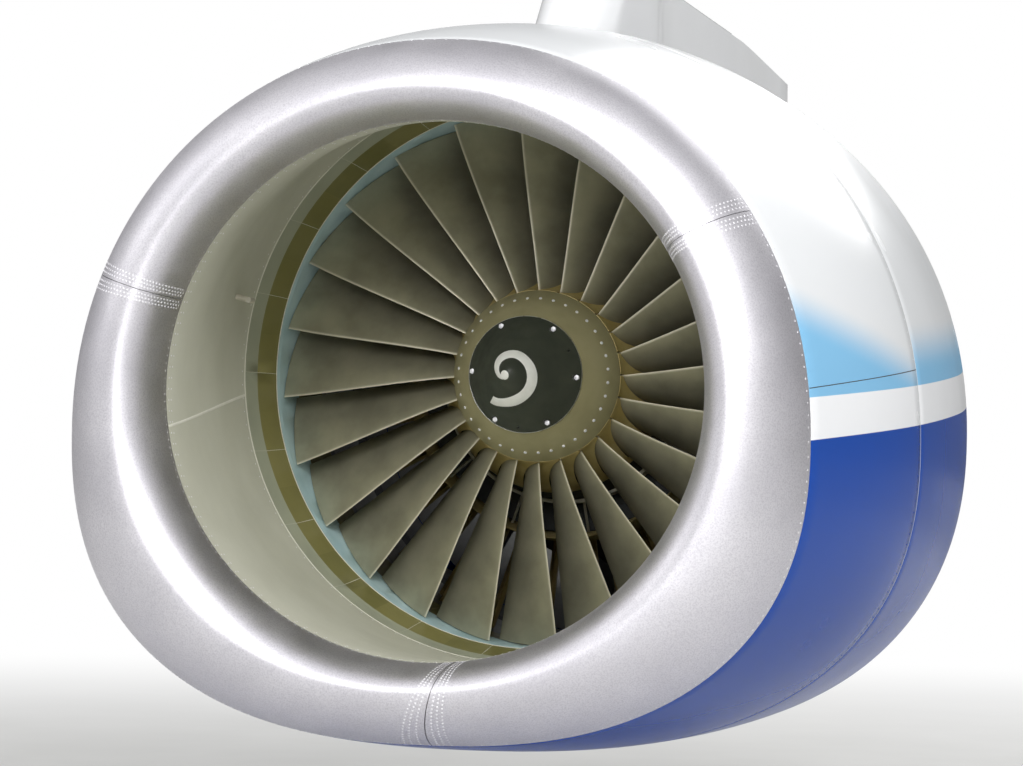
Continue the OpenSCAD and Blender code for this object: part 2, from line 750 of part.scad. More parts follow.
bearing_seats = [
    [fan_shaft_r, bearing_out_r, 402, 40],
    [fan_shaft_r, bearing_out_r, 542, 40],
    [core_bearing_in, core_bearing_out, 790, 34]
];

module bearing_ring(inner, outer, y, w) {
    turned([[inner + shaft_play, y], [outer - shaft_play, y], [outer - shaft_play, y + w],
        [inner + shaft_play, y + w]]);
}

module main_bearings() {
    color(steel) engine() {
        for (b = bearing_seats)
            bearing_ring(b[0], b[1], b[2], b[3]);
        bearing_ring(lp_shaft_r, lp_shaft_r + 34, rear_bearing_y, 34);
        bearing_ring(lp_shaft_r, lp_shaft_r + 8, 1846, 34);
    }
}

// Low pressure spool

module low_pressure_shaft() {
    r = lp_shaft_r;
    color(steel) engine() turned([[40, -4], [fan_shaft_r - 21, -4], [fan_shaft_r - 21, shaft_flange_y],
        [fan_shaft_r + 40, shaft_flange_y], [fan_shaft_r + 40, disk_rear_y + 1], [fan_shaft_r + 7, disk_rear_y + 1],
        [fan_shaft_r, 210], [fan_shaft_r, 590], [fan_shaft_r - 30, 606], [r, 618],
        [r, 2090], [r + 10, 2092], [r + 10, 2100], [r, 2104], [r, trf_rear_y - 30], [r - 14, trf_rear_y - 30], [40, 640]]);
}

lpt_rows = [1900, 1966, 2032, 2098];

function lpt_tip(y) = mix(346, 424, (y - 1880) / 270);

module low_pressure_turbine() {
    rows = [for (y = lpt_rows) each [[mix(262, 300, (y - 1880) / 270), y], [lpt_tip(y) - 2, y],
        [lpt_tip(y + 30) - 3, y + 30], [mix(262, 300, (y - 1850) / 270), y + 30]]];
    color(hot_metal) engine() turned(concat(
        [[lp_shaft_r + 10.3, 2078], [lp_shaft_r + 60, 2070], [236, 2020], [246, 1894]],
        rows, [[292, 2140], [280, 2140], [262, 2034], [lp_shaft_r + 62, 2086], [lp_shaft_r + 10.3, 2100]]));
}

// Core casings and high pressure rotor

core_wall = 12;

module compressor_case() {
    w = core_wall;
    color(steel) engine() turned([[340, hub_flange_y + seat], [392, hub_flange_y + seat],
        [392, hub_flange_y + 14], [340 + w, hub_flange_y + 20], [330 + w, 1000], [344 + w, 1004],
        [344 + w, 1014], [329 + w, 1018], [300 + w, 1370], [385, 1388], [385, comp_rear_y],
        [288, comp_rear_y], [300, 1366], [328, 1000]]);
}

// Both bevels lie on one cone pair whose apex is on the engine axis
bevel_r = 124;
bevel_pitch = 26;
function bevel_y(r) = drive_y + bevel_pitch * r / bevel_r;

hp_rows = [840, 900, 956, 1010, 1062, 1112, 1160, 1206, 1250];

function hp_tip(y) = mix(336, 300, (y - 800) / 570);
function hp_hub(y) = mix(232, 262, (y - 800) / 500);

module high_pressure_rotor() {
    bore = lp_shaft_r + 8;
    rows = [for (y = hp_rows) each [[hp_hub(y), y], [hp_tip(y) - 2, y],
        [hp_tip(y + 24) - 2, y + 24], [hp_hub(y + 24), y + 24]]];
    color(steel) engine() turned(concat(
        [[bore, 656], [96, bevel_y(96) + 0.4], [bevel_r, bevel_y(bevel_r) + 0.4], [bevel_r, 672],
         [core_bearing_in + 12, 680], [core_bearing_in, 690], [core_bearing_in, 828],
         [core_bearing_in + 20, 832], [hp_hub(830) - 10, 836]],
        rows, [[262, 1300], [120, 1330], [108, 1360], [108, 1730], [150, 1748], [210, 1752],
         [322, 1756], [322, 1792], [210, 1796], [150, 1800], [core_bearing_in + 22, 1830],
         [core_bearing_in, 1838], [core_bearing_in, 1882], [bore, 1882], [bore, 1700],
         [94, 1690], [94, 1360], [104, 1320], [246, 1288], [hp_hub(860) - 14, 862], [bore + 6, 850], [bore, 840]]));
}

nozzle_y = 1440;
nozzle_r = 14;
liner_y = 1482;

module combustor_case() {
    color(hot_metal) engine() difference() {
        turned([[288, comp_rear_y + seat], [385, comp_rear_y + seat], [385, comp_rear_y + 13],
            [378, comp_rear_y + 16], [378, comb_rear_y - 14], [392, comb_rear_y - 12], [392, comb_rear_y],
            [352, comb_rear_y], [366, comb_rear_y - 14], [366, comp_rear_y + 20], [300, comp_rear_y + 13]]);
        for (i = [0 : nozzle_n - 1])
            clock(i * 360 / nozzle_n) translate([0, nozzle_y, 340]) cylinder(h = 60, r = nozzle_r + 0.4, $fn = 32);
    }
}

module combustor_liner() {
    color(hot_metal) engine() turned([[196, 1500], [250, liner_y], [296, liner_y], [340, 1500],
        [348, 1600], [320, comb_rear_y - 12], [352 - seat, comb_rear_y - 8], [352 - seat, comb_rear_y],
        [315, comb_rear_y], [343, 1600], [335, 1504],
        [294, 1488], [252, 1488], [202, 1504], [206, 1600], [244, comb_rear_y - 4],
        [240, comb_rear_y - 4], [200, 1600]]);
}

module fuel_nozzles() {
    color(steel) engine() for (i = [0 : nozzle_n - 1])
        clock(i * 360 / nozzle_n) translate([0, nozzle_y, 0]) union() {
            translate([0, 0, 268]) cylinder(h = 132, r = nozzle_r - 5, $fn = 24);
            translate([0, 0, 378.3]) cylinder(h = 10, r = nozzle_r + 6, $fn = 24);
            translate([0, -4, 274]) aftwards() cylinder(h = liner_y - seat - nozzle_y + 4, r = nozzle_r, $fn = 32);
        }
}

module turbine_case() {
    w = core_wall;
    color(hot_metal) engine() turned([[348, comb_rear_y + seat], [392, comb_rear_y + seat],
        [392, comb_rear_y + 12], [340 + w, comb_rear_y + 18], [332 + w, 1800], [lpt_tip(1880) + w, 1880],
        [lpt_tip(turb_rear_y) + w, turb_rear_y - 14], [452, turb_rear_y - 12], [452, turb_rear_y],
        [lpt_tip(turb_rear_y), turb_rear_y], [lpt_tip(1880), 1880], [328, 1800], [328, comb_rear_y + 30]]);
}

trf_strut_n = 12;

module turbine_rear_frame() {
    y0 = turb_rear_y + seat;
    r = lpt_tip(turb_rear_y);
    color(hot_metal) engine() union() {
        turned([[r, y0], [452, y0], [452, y0 + 12], [r + 12, y0 + 16], [r + 12, trf_rear_y - 12],
            [452, trf_rear_y - 10], [452, trf_rear_y], [r, trf_rear_y]]);
        turned([[lp_shaft_r + 34, rear_bearing_y - 6], [lp_shaft_r + 46, rear_bearing_y - 6],
            [lp_shaft_r + 60, rear_bearing_y + 10], [240, rear_bearing_y - 24],
            [292, y0 + 6], [298, y0 + 6], [280, trf_rear_y - 10], [262, trf_rear_y], [250, trf_rear_y],
            [252, trf_rear_y - 40], [236, rear_bearing_y - 4], [lp_shaft_r + 58, trf_rear_y - 40],
            [lp_shaft_r + 34, trf_rear_y - 40]]);
        for (i = [0 : trf_strut_n - 1])
            clock((i + 0.5) * 360 / trf_strut_n) strut(272, r + 4, y0 + 18, 84, 14);
    }
}

nozzle_knee_y = trf_rear_y + 240;
nozzle_exit_y = trf_rear_y + 480;
plug_tip_y = nozzle_exit_y + 225;

module core_nozzle() {
    y0 = trf_rear_y + seat;
    r = lpt_tip(turb_rear_y);
    color(hot_metal) engine() turned([[r, y0], [452, y0], [452, y0 + 10], [r + 5, y0 + 14],
        [mix(r, 330, 0.45) + 5, nozzle_knee_y], [334, nozzle_exit_y], [330, nozzle_exit_y],
        [mix(r, 330, 0.45), nozzle_knee_y], [r, y0 + 14]]);
}

module exhaust_plug() {
    y0 = trf_rear_y + seat;
    color(hot_metal) engine() turned([[250, y0], [262, y0], [256, y0 + 100], [222, plug_tip_y - 425], [140, plug_tip_y - 205],
        [48, plug_tip_y - 45], [26, plug_tip_y - 6], [0, plug_tip_y], [0, plug_tip_y - 8], [20, plug_tip_y - 14],
        [42, plug_tip_y - 49], [134, plug_tip_y - 209], [216, plug_tip_y - 429], [250, y0 + 96]]);
}

// Gearbox and accessories on the fan case

box_in = flange_r + 26;
box_out = flange_r + 106;
box_from = 98;
box_to = 152;

// A block that follows the fan case between two clock angles
module case_block(r0, r1, y0, y1, from, to) {
    clock(from - 90) aftwards() rotate([0, 0, 0])
        rotate_extrude(angle = to - from, $fn = 144) polygon([[r0, y0], [r1, y0], [r1, y1], [r0, y1]]);
}

module accessory_gearbox() {
    color(alloy) engine() difference() {
        union() {
            case_block(box_in, box_out, drive_y - 60, drive_y + 40, box_from, box_to);
            for (a = [box_from + 10, box_to - 10])
                clock(a) translate([-20, 600, case_r + 22.3]) cube([40, 50, box_in - case_r - 20]);
        }
        clock(drive_clock) translate([0, drive_y, box_in - 5]) cylinder(h = 45, r = drive_r + 0.05, $fn = 48);
    }
}

module radial_drive_shaft() {
    color(steel) engine() clock(drive_clock) translate([0, drive_y, 0]) union() {
        translate([0, 0, bevel_r - 1]) cylinder(h = box_in + 39 - bevel_r, r = drive_r, $fn = 48);
        translate([0, 0, 96]) cylinder(h = bevel_r - 96, r1 = bevel_pitch * 96 / bevel_r, r2 = bevel_pitch, $fn = 96);
    }
}

module accessory(angle, r, len, mid) {
    clock(angle) translate([0, drive_y - 60.3, mid]) rotate([90, 0, 0]) union() {
        cylinder(h = len, r = r, $fn = 64);
        cylinder(h = 14, r = r + 8, $fn = 64);
    }
}

module gearbox_accessories() {
    mid = flange_r + 72;
    color(dark_steel) engine() {
        accessory(104, 58, 210, mid + 6);
        accessory(116, 46, 160, mid - 4);
        accessory(128, 50, 190, mid);
        accessory(144, 66, 240, mid + 10);
    }
}

module oil_tank() {
    color(alloy) engine() union() {
        case_block(flange_r + 14, flange_r + 104, 60, 400, 226, 262);
        clock(244) translate([-25, 250, flange_r - 7.6]) cube([50, 16, 30]);
        clock(234) translate([0, 110, flange_r + 96]) cylinder(h = 26, r = 30, $fn = 48);
    }
}

// Support beam, hangers and fairing

beam_front_y = -205;
beam_step_y = 452;
beam_rear_y = 2290;
beam_low_z = 880;
beam_web = 14;
beam_ys = [beam_front_y, -100, 0, 120, widest_y, beam_step_y + 1];

cowl_hinge_ys = [120, 290, 470, 640];
rev_hinge_ys = [790, 1030, 1270];
lug_len = 26;

// Height of the reverser's hinge line at a station
function rev_z(y) = rev_hinge_z - tan(rev_tilt) * (y - rev_hinge_ys[0]);

// Height of the beam's ridge, just under the crown of the cowls
function ridge(y) = y < widest_y ? crown(y) - cowl_crown + beam_top_z : beam_top_z;

// Places children on a hinge line that falls by an angle towards the rear
module on_hinge(side, y, z, tilt) {
    translate([side * hinge_x, y, z]) rotate([-tilt, 0, 0]) children();
}

// A hinge lug reaching out from the beam, with the pin that stands out of it
module beam_lug(side, y, z, tilt) {
    reach = hinge_x - beam_half_w + 4;
    on_hinge(side, y, z, tilt) union() {
        translate([side > 0 ? -reach : 0, 0, -lug_r]) cube([reach, lug_len, 2 * lug_r]);
        aftwards() cylinder(h = lug_len, r = lug_r, $fn = 32);
        translate([0, lug_len - 5, 0]) aftwards() cylinder(h = lug_len + 4, r = pin_r, $fn = 32);
    }
}

module support_beam() {
    w = beam_half_w;
    color(steel) engine() difference() {
        union() {
            translate([-w, 0, 0]) rotate([90, 0, 90]) linear_extrude(2 * w)
                polygon(concat([for (y = beam_ys) [y, ridge(y)]], [[beam_step_y + 1, 872], [beam_front_y, 872]]));
            translate([-w, 0, 0]) rotate([90, 0, 90]) linear_extrude(2 * w)
                polygon([[beam_step_y, beam_low_z], [beam_rear_y, beam_low_z], [beam_rear_y, mount_rise],
                    [beam_step_y + 208, mount_rise], [beam_step_y, beam_top_z + 10]]);
            for (s = [-1, 1]) {
                for (y = cowl_hinge_ys)
                    beam_lug(s, y, cowl_hinge_z, 0);
                for (y = rev_hinge_ys)
                    beam_lug(s, y, rev_z(y), rev_tilt);
            }
        }
        translate([-w + beam_web, beam_front_y + 20, 871]) cube([2 * (w - beam_web), beam_step_y - beam_front_y - 40, 70]);
        for (i = [0 : 3])
            translate([-w - 1, beam_step_y + 200 + i * 390, 1050])
                cube([2 * w + 2, 300, 170]);
        for (y = [mount_y, aft_mount_y]) for (sx = [-1, 1]) for (sy = [-1, 1])
            translate([sx * mount_pitch, y + sy * mount_pitch * 0.6, mount_rise - 60])
                cylinder(h = 61, d = mount_hole, $fn = 48);
    }
}

// An A-shaped hanger between the beam and a ring of the engine
module hanger(y, len, r, half_top, half_low) {
    color(steel) engine() translate([0, y, 0]) difference() {
        translate([0, len, 0]) rotate([90, 0, 0]) linear_extrude(len)
            polygon([[-half_low, r - 30], [half_low, r - 30], [half_low, r + 20], [half_top, beam_low_z - seat],
                [-half_top, beam_low_z - seat], [-half_low, r + 20]]);
        translate([0, -1, 0]) aftwards() cylinder(h = len + 2, r = r + seat, $fn = 256);
        translate([0, -1, mix(r, beam_low_z, 0.52)]) aftwards() cylinder(h = len + 2, r = 34, $fn = 48);
    }
}

module engine_hangers() {
    hanger(hub_flange_y - 22, 20, 460, 78, 118);
    hanger(turb_rear_y + seat, 12, 452, 78, 100);
}

fairing_wall = 5;
fairing_nose = 260;
fairing_front_y = 120;
fairing_rake = 330;
fairing_tail_y = 3620;
fairing_waist = 94;
fairing_levels = 3;
fairing_tail_z = 700;
strip_thick = 5;

function fairing_low(y) = y < 1450 ? crown(y) - cowl_crown + beam_top_z + 3.7
    : mix(crown(1450) - cowl_crown + beam_top_z + 3.7, fairing_tail_z, ease(clamp01((y - 1450) / 800)));

function fairing_high(y) = mount_rise - 8 - 50 * clamp01((y - 2480) / 1140);

// Plan outline: a rounded nose, straight sides, a waist beside the sleeves and a tapered tail
function fairing_side(inset) = concat(
    [for (a = [15 : 25 : 90]) [(fairing_half_w - inset) * sin(a), fairing_front_y + inset
        + (fairing_nose - inset) * (1 - cos(a))]],
    [for (y = [700, 940]) [fairing_half_w - inset, y]],
    [for (y = [1170, 1450, 1650, 1850, 2250, 2640]) [fairing_waist - inset, y]],
    [[(fairing_waist - inset) * 0.94, 3380], [30 - inset, fairing_tail_y - 2 * inset]]);

function fairing_plan(inset) = concat(fairing_side(inset), [for (p = reversed(fairing_side(inset))) [-p[0], p[1]]]);

strip_ys = [cowl_front_y + 4, -205, -100, 0, 120, widest_y, fairing_front_y + fairing_nose + 4];

function fairing_column(p) =
    let (low = fairing_low(p[1]) + 330 * clamp01((p[1] - 2250) / 1370))
    let (rake = fairing_rake * clamp01(1 - (p[1] - fairing_front_y) / 800))
    [for (k = [0 : fairing_levels]) let (v = k / fairing_levels)
        [p[0], p[1] + rake * v, mix(low, fairing_high(p[1]), v)]];

module mount_fairing() {
    outer = fairing_plan(0);
    inner = fairing_plan(fairing_wall);
    color(white_paint) engine() union() {
        loft([for (i = [len(outer) - 1 : -1 : 0])
            concat(fairing_column(outer[i]), reversed(fairing_column(inner[i])))], ring = true);
        translate([-fairing_half_w, 0, 0]) rotate([90, 0, 90]) linear_extrude(2 * fairing_half_w)
            polygon(concat([for (y = strip_ys) [y, ridge(y) + seat]],
                [for (y = reversed(strip_ys)) [y, ridge(y) + seat + strip_thick]]));
    }
}

// Fan cowls

cowl_steps = 22;
cowl_stations = 4;
latch_ys = [-60, 200, 440];
latch_half = 58;
latch_len = 50;
latch_low_z = -keel(latch_ys[2] + latch_len) + 0.5;
latch_pin_x = latch_half - 12;
latch_pin_z = latch_low_z + 9;
latch_pin_r = 4;

module fan_cowl(side) {
    ys = [for (i = [0 : cowl_stations]) mix(cowl_front_y + 3, cowl_rear_y - 3, i / cowl_stations)];
    loops = [for (i = [0 : cowl_steps]) let (u = i / cowl_steps) concat(
        [for (y = reversed(ys)) skin_pt(y, mix(top_t(y, top_gap), keel_t(y, keel_gap), u))],
        [for (y = ys) let (t = mix(top_t(y, top_gap, cowl_skin), keel_t(y, keel_gap, cowl_skin), u))
            skin_pt(y, t, cowl_skin)])];
    engine() mirror([side > 0 ? 0 : 1, 0, 0]) difference() {
        union() {
            difference() {
                loft(loops);
                for (y = latch_ys)
                    translate([-1, y, -cowl_keel - 5]) cube([latch_half + 2, latch_len, 30]);
            }
            for (y = cowl_hinge_ys)
                cowl_lug(y, cowl_hinge_z, 0, 28, [-lug_r, crown(y) - 16 - cowl_hinge_z]);
            if (side > 0)
                for (y = latch_ys) for (s = [-6, latch_len])
                    translate([latch_pin_x - 9, y + s, latch_low_z + 0.5]) cube([18, 6, 18]);
        }
        if (side > 0)
            for (y = latch_ys)
                translate([latch_pin_x, y - 7, latch_pin_z]) aftwards()
                    cylinder(h = latch_len + 14, r = latch_pin_r + shaft_play, $fn = 32);
    }
}

// The cowl's own lug, bored for the pin, with an arm between two heights
module cowl_lug(y, z, tilt, arm, heights) {
    on_hinge(1, y, z, tilt) translate([0, lug_len + 1, 0]) difference() {
        union() {
            aftwards() cylinder(h = lug_len - 2, r = lug_r, $fn = 32);
            translate([0, 0, heights[0]]) cube([arm, lug_len - 2, heights[1] - heights[0]]);
        }
        translate([0, -1, 0]) aftwards() cylinder(h = lug_len, r = pin_r + shaft_play, $fn = 32);
    }
}

module fan_cowl_left() {
    color(white_paint) fan_cowl(-1);
}

module fan_cowl_right() {
    color(white_paint) fan_cowl(1);
}

// The strake stands on one row of the cowl's skin, from station to station
strake_row = 7;
strake_thick = 8;
strake_split = 3;
strake_stations = 8;

function cowl_y(i) = mix(cowl_front_y + 3, cowl_rear_y - 3, i / cowl_stations);
function row_pt(y, inset) =
    let (p = skin_pt(y, mix(top_t(y, top_gap), keel_t(y, keel_gap), strake_row / cowl_steps), inset))
    [-p[0], p[1], p[2]];

module nacelle_strake() {
    color(white_paint) engine() loft([for (i = [0 : strake_stations])
        let (a = floor(i / strake_split), v = i / strake_split - a, w = i / strake_stations)
        let (p = mix(row_pt(cowl_y(1 + a), -seat), row_pt(cowl_y(2 + a), -seat), v))
        let (q = mix(row_pt(cowl_y(1 + a), -10), row_pt(cowl_y(2 + a), -10), v), n = (q - p) / norm(q - p))
        let (h = 6 + strake_h * pow(sin(180 * pow(w, 0.7)), 0.8), s = [n[2], 0, -n[0]] * strake_thick / 2)
        [p + s, p - s, p - s * 0.5 + n * h, p + s * 0.5 + n * h]]);
}

module cowl_latches() {
    color(steel) engine() for (y = latch_ys)
        translate([0, y, 0]) union() {
            translate([-latch_half + 2, 2, latch_low_z]) cube([latch_pin_x + latch_half + 4, latch_len - 4, 7]);
            translate([latch_pin_x, 2, latch_pin_z]) aftwards() cylinder(h = latch_len - 4, r = 6, $fn = 32);
            translate([latch_pin_x, -5, latch_pin_z]) aftwards() cylinder(h = latch_len + 10, r = latch_pin_r, $fn = 32);
        }
}

// Reverser: core cowls with duct walls, cascades, sleeves and blocker doors

cowl_end_y = 2440;
ring_y = cowl_rear_y + 4;
cascade_in = 845;
cascade_out = 893;
cascade_end_y = 1200;
cascade_rows = 7;

function core_wall_r(y) = y < 1300
    ? mix(vane_ring_r + 4, core_cowl_r, ease(clamp01((y - ring_y) / 500)))
    : mix(core_cowl_r, 446, pow(clamp01((y - 1400) / (cowl_end_y - 1400)), 1.5));

rail_top_z = 880;

core_cowl_ys = [ring_y, 800, 920, 1060, 1204, 1400, 1600, 1850, 2100, 2300, cowl_end_y];

module core_cowl(side) {
    t = core_cowl_thick;
    outer = [for (y = core_cowl_ys) [core_wall_r(y), y]];
    inner = [for (y = reversed(core_cowl_ys)) [core_wall_r(y) - (y == cowl_end_y ? 4 : t), y]];
    duct = [for (y = [2250, ring_y]) [duct_r - 1 - seat - (y > 2000 ? 60 : 0), y]];
    floor = [for (y = core_cowl_ys) if (y < 2260) [core_wall_r(y) - t / 2, y]];
    color(alloy) engine() union() {
        half_cut(side, upper_wall_x, lower_wall_x) turned(concat(outer, inner));
        intersection() {
            turned(concat(floor, duct));
            union() {
                translate([side > 0 ? upper_wall_x : -upper_wall_x - wall_thick, 0, 0])
                    cube([wall_thick, 3000, 1000]);
                translate([side > 0 ? lower_wall_x : -lower_wall_x - wall_thick, 0, -1000])
                    cube([wall_thick, 3000, 1000]);
            }
        }
        mirror([side > 0 ? 0 : 1, 0, 0]) {
            translate([upper_wall_x, ring_y + 10, duct_r - 67])
                cube([wall_thick, rev_hinge_ys[2] + 60 - ring_y - 10, rail_top_z - duct_r + 67]);
            for (y = rev_hinge_ys)
                cowl_lug(y, rev_z(y), rev_tilt, wall_thick, [rail_top_z - rev_z(y) - 12, 0]);
        }
    }
}

module core_cowl_left() {
    core_cowl(-1);
}

module core_cowl_right() {
    core_cowl(1);
}

// Torque ring, cascade vanes, aft ring and hinge beam of one half
module cascade_frame(side) {
    r0 = duct_r - 1;
    step = (cascade_end_y - 776) / cascade_rows;
    color(dark_steel) engine() union() {
        half_cut(side, upper_wall_x + wall_thick + seat, lower_wall_x)
            turned([[r0, ring_y], [935, ring_y], [935, ring_y + 54], [cascade_in - 6, ring_y + 54],
                [cascade_in - 6, ring_y + 42], [922, ring_y + 42], [922, ring_y + 12],
                [duct_r + 12, ring_y + 12], [duct_r + 12, door_y - 6], [r0, door_y - 6]]);
        half_cut(side, top_gap + 4, lower_wall_x) union() {
            turned([[cascade_in, cascade_end_y - 14], [cascade_out + 8, cascade_end_y - 14],
                [cascade_out + 8, cascade_end_y], [cascade_in, cascade_end_y]]);
            for (i = [0 : cascade_rows - 1])
                turned([for (p = [[cascade_in, 26], [cascade_out, 0], [cascade_out, 5], [cascade_in, 31]])
                    [p[0], 770 + i * step + p[1]]]);
        }
        for (a = [18 : 19 : 170])
            clock(side * a) translate([-3, 750, cascade_in]) cube([6, cascade_end_y - 752, cascade_out - cascade_in]);
        mirror([side > 0 ? 0 : 1, 0, 0]) {
            translate([top_gap + 4, ring_y + 20, 850]) cube([14, cascade_end_y - ring_y - 21, 24]);
            translate([lower_wall_x + 4, ring_y + 20, -890]) cube([14, cascade_end_y - ring_y - 21, 24]);
        }
    }
}

module cascade_frame_left() {
    cascade_frame(-1);
}

module cascade_frame_right() {
    cascade_frame(1);
}

// Sleeve section: outer skin, fan nozzle edge, duct wall, door recess and cavity
door_y = 820;
sleeve_steps = 20;
recess_y = door_y + 40;
recess_r = (duct_r + door_thick + 2) / cos(90 / sleeve_steps);
door_pin_y = door_y + 15;
door_pin_r = duct_r + 7.5;
door_pin = 4;
knuckle_x = 80;
sleeve_front_y = cowl_rear_y + 3;
sleeve_out_ys = [sleeve_front_y, 1000, 1350, 1700, 2050, exit_y];
sleeve_in_ys = [1950, 1600, 1250, sleeve_front_y];

// Points at matching shares of the skin and of a round duct wall
function sleeve_skin_at(y, u, inset) =
    skin_pt(y, mix(top_t(y, top_gap, inset), keel_t(y, keel_gap, inset), u), inset);
function sleeve_duct_at(y, u, r) =
    let (t = mix(acos(top_gap / r), -acos(keel_gap / r), u)) [r * cos(t), y, r * sin(t)];

module sleeve(side) {
    wall = 12;
    loops = [for (i = [0 : sleeve_steps]) let (u = i / sleeve_steps) concat(
        [for (y = reversed(sleeve_out_ys)) sleeve_skin_at(y, u, 0)],
        [for (y = reversed(sleeve_in_ys)) sleeve_skin_at(y, u, sleeve_skin)],
        [sleeve_duct_at(2180, u, 762), sleeve_duct_at(1500, u, duct_r + 8),
         sleeve_duct_at(recess_y, u, recess_r + wall), sleeve_duct_at(recess_y, u, recess_r),
         sleeve_duct_at(door_y + door_len + 6, u, recess_r), sleeve_duct_at(door_y + door_len + 6, u, duct_r),
         sleeve_duct_at(1700, u, duct_r - 16), sleeve_duct_at(exit_y - 1, u, exit_r - 10)])];
    color(white_paint) engine() mirror([side > 0 ? 0 : 1, 0, 0]) loft(loops);
}

function door_clock(k) = door_from + (k + 0.5) * door_pitch;

// An arm bolted to the front of the sleeve's inner wall, down to a door's pin
module door_knuckle() {
    y = door_pin_y;
    z = door_pin_r;
    union() {
        translate([-7, 0, 0]) rotate([90, 0, 90]) linear_extrude(14)
            polygon([[y - 7, z], [y - 7, z + 9], [y + 7, z + 24], [recess_y - seat, z + 27],
                [recess_y - seat, z + 13.5], [y + 17, z + 13], [y + 7, z + 9], [y + 7, z]]);
        translate([-7, y, z]) rotate([0, 90, 0]) cylinder(h = 14, r = 7, $fn = 32);
        translate([-14, y, z]) rotate([0, 90, 0]) cylinder(h = 28, r = door_pin, $fn = 32);
    }
}

module door_hinges(side) {
    color(steel) engine() for (k = [0 : door_n - 1]) for (s = [-1, 1])
        clock(side * door_clock(k)) translate([s * knuckle_x, 0, 0]) door_knuckle();
}

module door_hinges_left() {
    door_hinges(-1);
}

module door_hinges_right() {
    door_hinges(1);
}

module sleeve_left() {
    sleeve(-1);
}

module sleeve_right() {
    sleeve(1);
}

door_from = 14.5;
door_to = 174;
door_pitch = (door_to - door_from) / door_n;
door_root_half = (duct_r + 1) * sin(door_pitch / 2) - 4;
door_tip_half = (duct_r + 12 - door_len) * tan(door_pitch / 2) - 14;

module blocker_door(side, k) {
    r0 = duct_r + 1;
    color(alloy) engine() clock(side * door_clock(k)) difference() {
        intersection() {
            turned([[r0, door_y], [r0 + door_thick, door_y], [r0 + door_thick, door_y + door_len],
                [r0, door_y + door_len]]);
            linear_extrude(1000) polygon([[-door_root_half, door_y - 1], [door_root_half, door_y - 1],
                [door_tip_half, door_y + door_len + 1], [-door_tip_half, door_y + door_len + 1]]);
        }
        for (s = [-1, 1]) {
            translate([s * knuckle_x - 11, door_y - 2, r0 - 20]) cube([22, 34, door_thick + 40]);
            translate([s * knuckle_x - 20, door_pin_y, door_pin_r]) rotate([0, 90, 0])
                cylinder(h = 40, r = door_pin + shaft_play, $fn = 32);
        }
    }
}

module blocker_door_left_1() {
    blocker_door(-1, 0);
}

module blocker_door_left_2() {
    blocker_door(-1, 1);
}

module blocker_door_left_3() {
    blocker_door(-1, 2);
}

module blocker_door_left_4() {
    blocker_door(-1, 3);
}

module blocker_door_right_1() {
    blocker_door(1, 0);
}

module blocker_door_right_2() {
    blocker_door(1, 1);
}

module blocker_door_right_3() {
    blocker_door(1, 2);
}

module blocker_door_right_4() {
    blocker_door(1, 3);
}

inlet_lip_upper();
inlet_lip_outboard();
inlet_lip_inboard();
inlet_outer_barrel();
inlet_inner_barrel();
inlet_bulkheads();
temperature_probe();
fan_case();
acoustic_panels();
abradable_shroud();
fan_blades();
fan_disk();
blade_platforms();
spinner_front_cone();
spinner_rear_cone();
spinner_bolts();
splitter_case();
booster_vanes();
booster_rotor();
outlet_guide_vanes();
fan_frame();
main_bearings();
low_pressure_shaft();
compressor_case();
high_pressure_rotor();
combustor_case();
combustor_liner();
fuel_nozzles();
turbine_case();
low_pressure_turbine();
turbine_rear_frame();
core_nozzle();
exhaust_plug();
accessory_gearbox();
radial_drive_shaft();
gearbox_accessories();
oil_tank();
support_beam();
mount_fairing();
engine_hangers();
fan_cowl_left();
fan_cowl_right();
nacelle_strake();
cowl_latches();
core_cowl_left();
core_cowl_right();
cascade_frame_left();
cascade_frame_right();
sleeve_left();
sleeve_right();
door_hinges_left();
door_hinges_right();
blocker_door_left_1();
blocker_door_left_2();
blocker_door_left_3();
blocker_door_left_4();
blocker_door_right_1();
blocker_door_right_2();
blocker_door_right_3();
blocker_door_right_4();
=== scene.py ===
import logging
import math
from dataclasses import dataclass
from enum import Enum
from typing import Callable, Optional, Sequence

import bpy
import numpy as np
from mathutils import Matrix, Vector


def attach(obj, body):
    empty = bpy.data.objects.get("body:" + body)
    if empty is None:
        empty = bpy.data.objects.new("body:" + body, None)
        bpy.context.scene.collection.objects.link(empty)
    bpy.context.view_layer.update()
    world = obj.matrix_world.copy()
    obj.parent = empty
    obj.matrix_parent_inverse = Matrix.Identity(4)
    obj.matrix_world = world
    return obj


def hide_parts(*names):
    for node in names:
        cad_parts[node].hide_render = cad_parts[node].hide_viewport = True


logging.basicConfig(level=logging.INFO, format="%(message)s")
LOG = logging.getLogger("turbofan")

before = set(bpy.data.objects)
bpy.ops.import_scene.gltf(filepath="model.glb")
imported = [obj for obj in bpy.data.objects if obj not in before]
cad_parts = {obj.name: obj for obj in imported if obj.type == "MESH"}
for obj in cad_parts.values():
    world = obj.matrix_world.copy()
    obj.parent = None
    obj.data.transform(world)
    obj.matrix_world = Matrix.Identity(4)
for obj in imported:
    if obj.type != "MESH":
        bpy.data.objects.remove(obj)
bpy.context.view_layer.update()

# The engine axis lies 1300 mm below the origin, and the blade tips 770 mm ahead of it.
OFFSET_MM = np.array((0.0, -770.0, -1300.0))
TAU = 2.0 * math.pi
# Width of the photograph in pixels, to which the camera's focal length refers.
PHOTO_WIDTH_PX = 1023.0
# Half the width of the blur at a painted or sealed edge, in metres.
EDGE_M = 0.0005
# Points closer together than this are one point, in metres.
WELD_M = 2e-5
# One number, or many of them in an array.
Values = float | np.ndarray


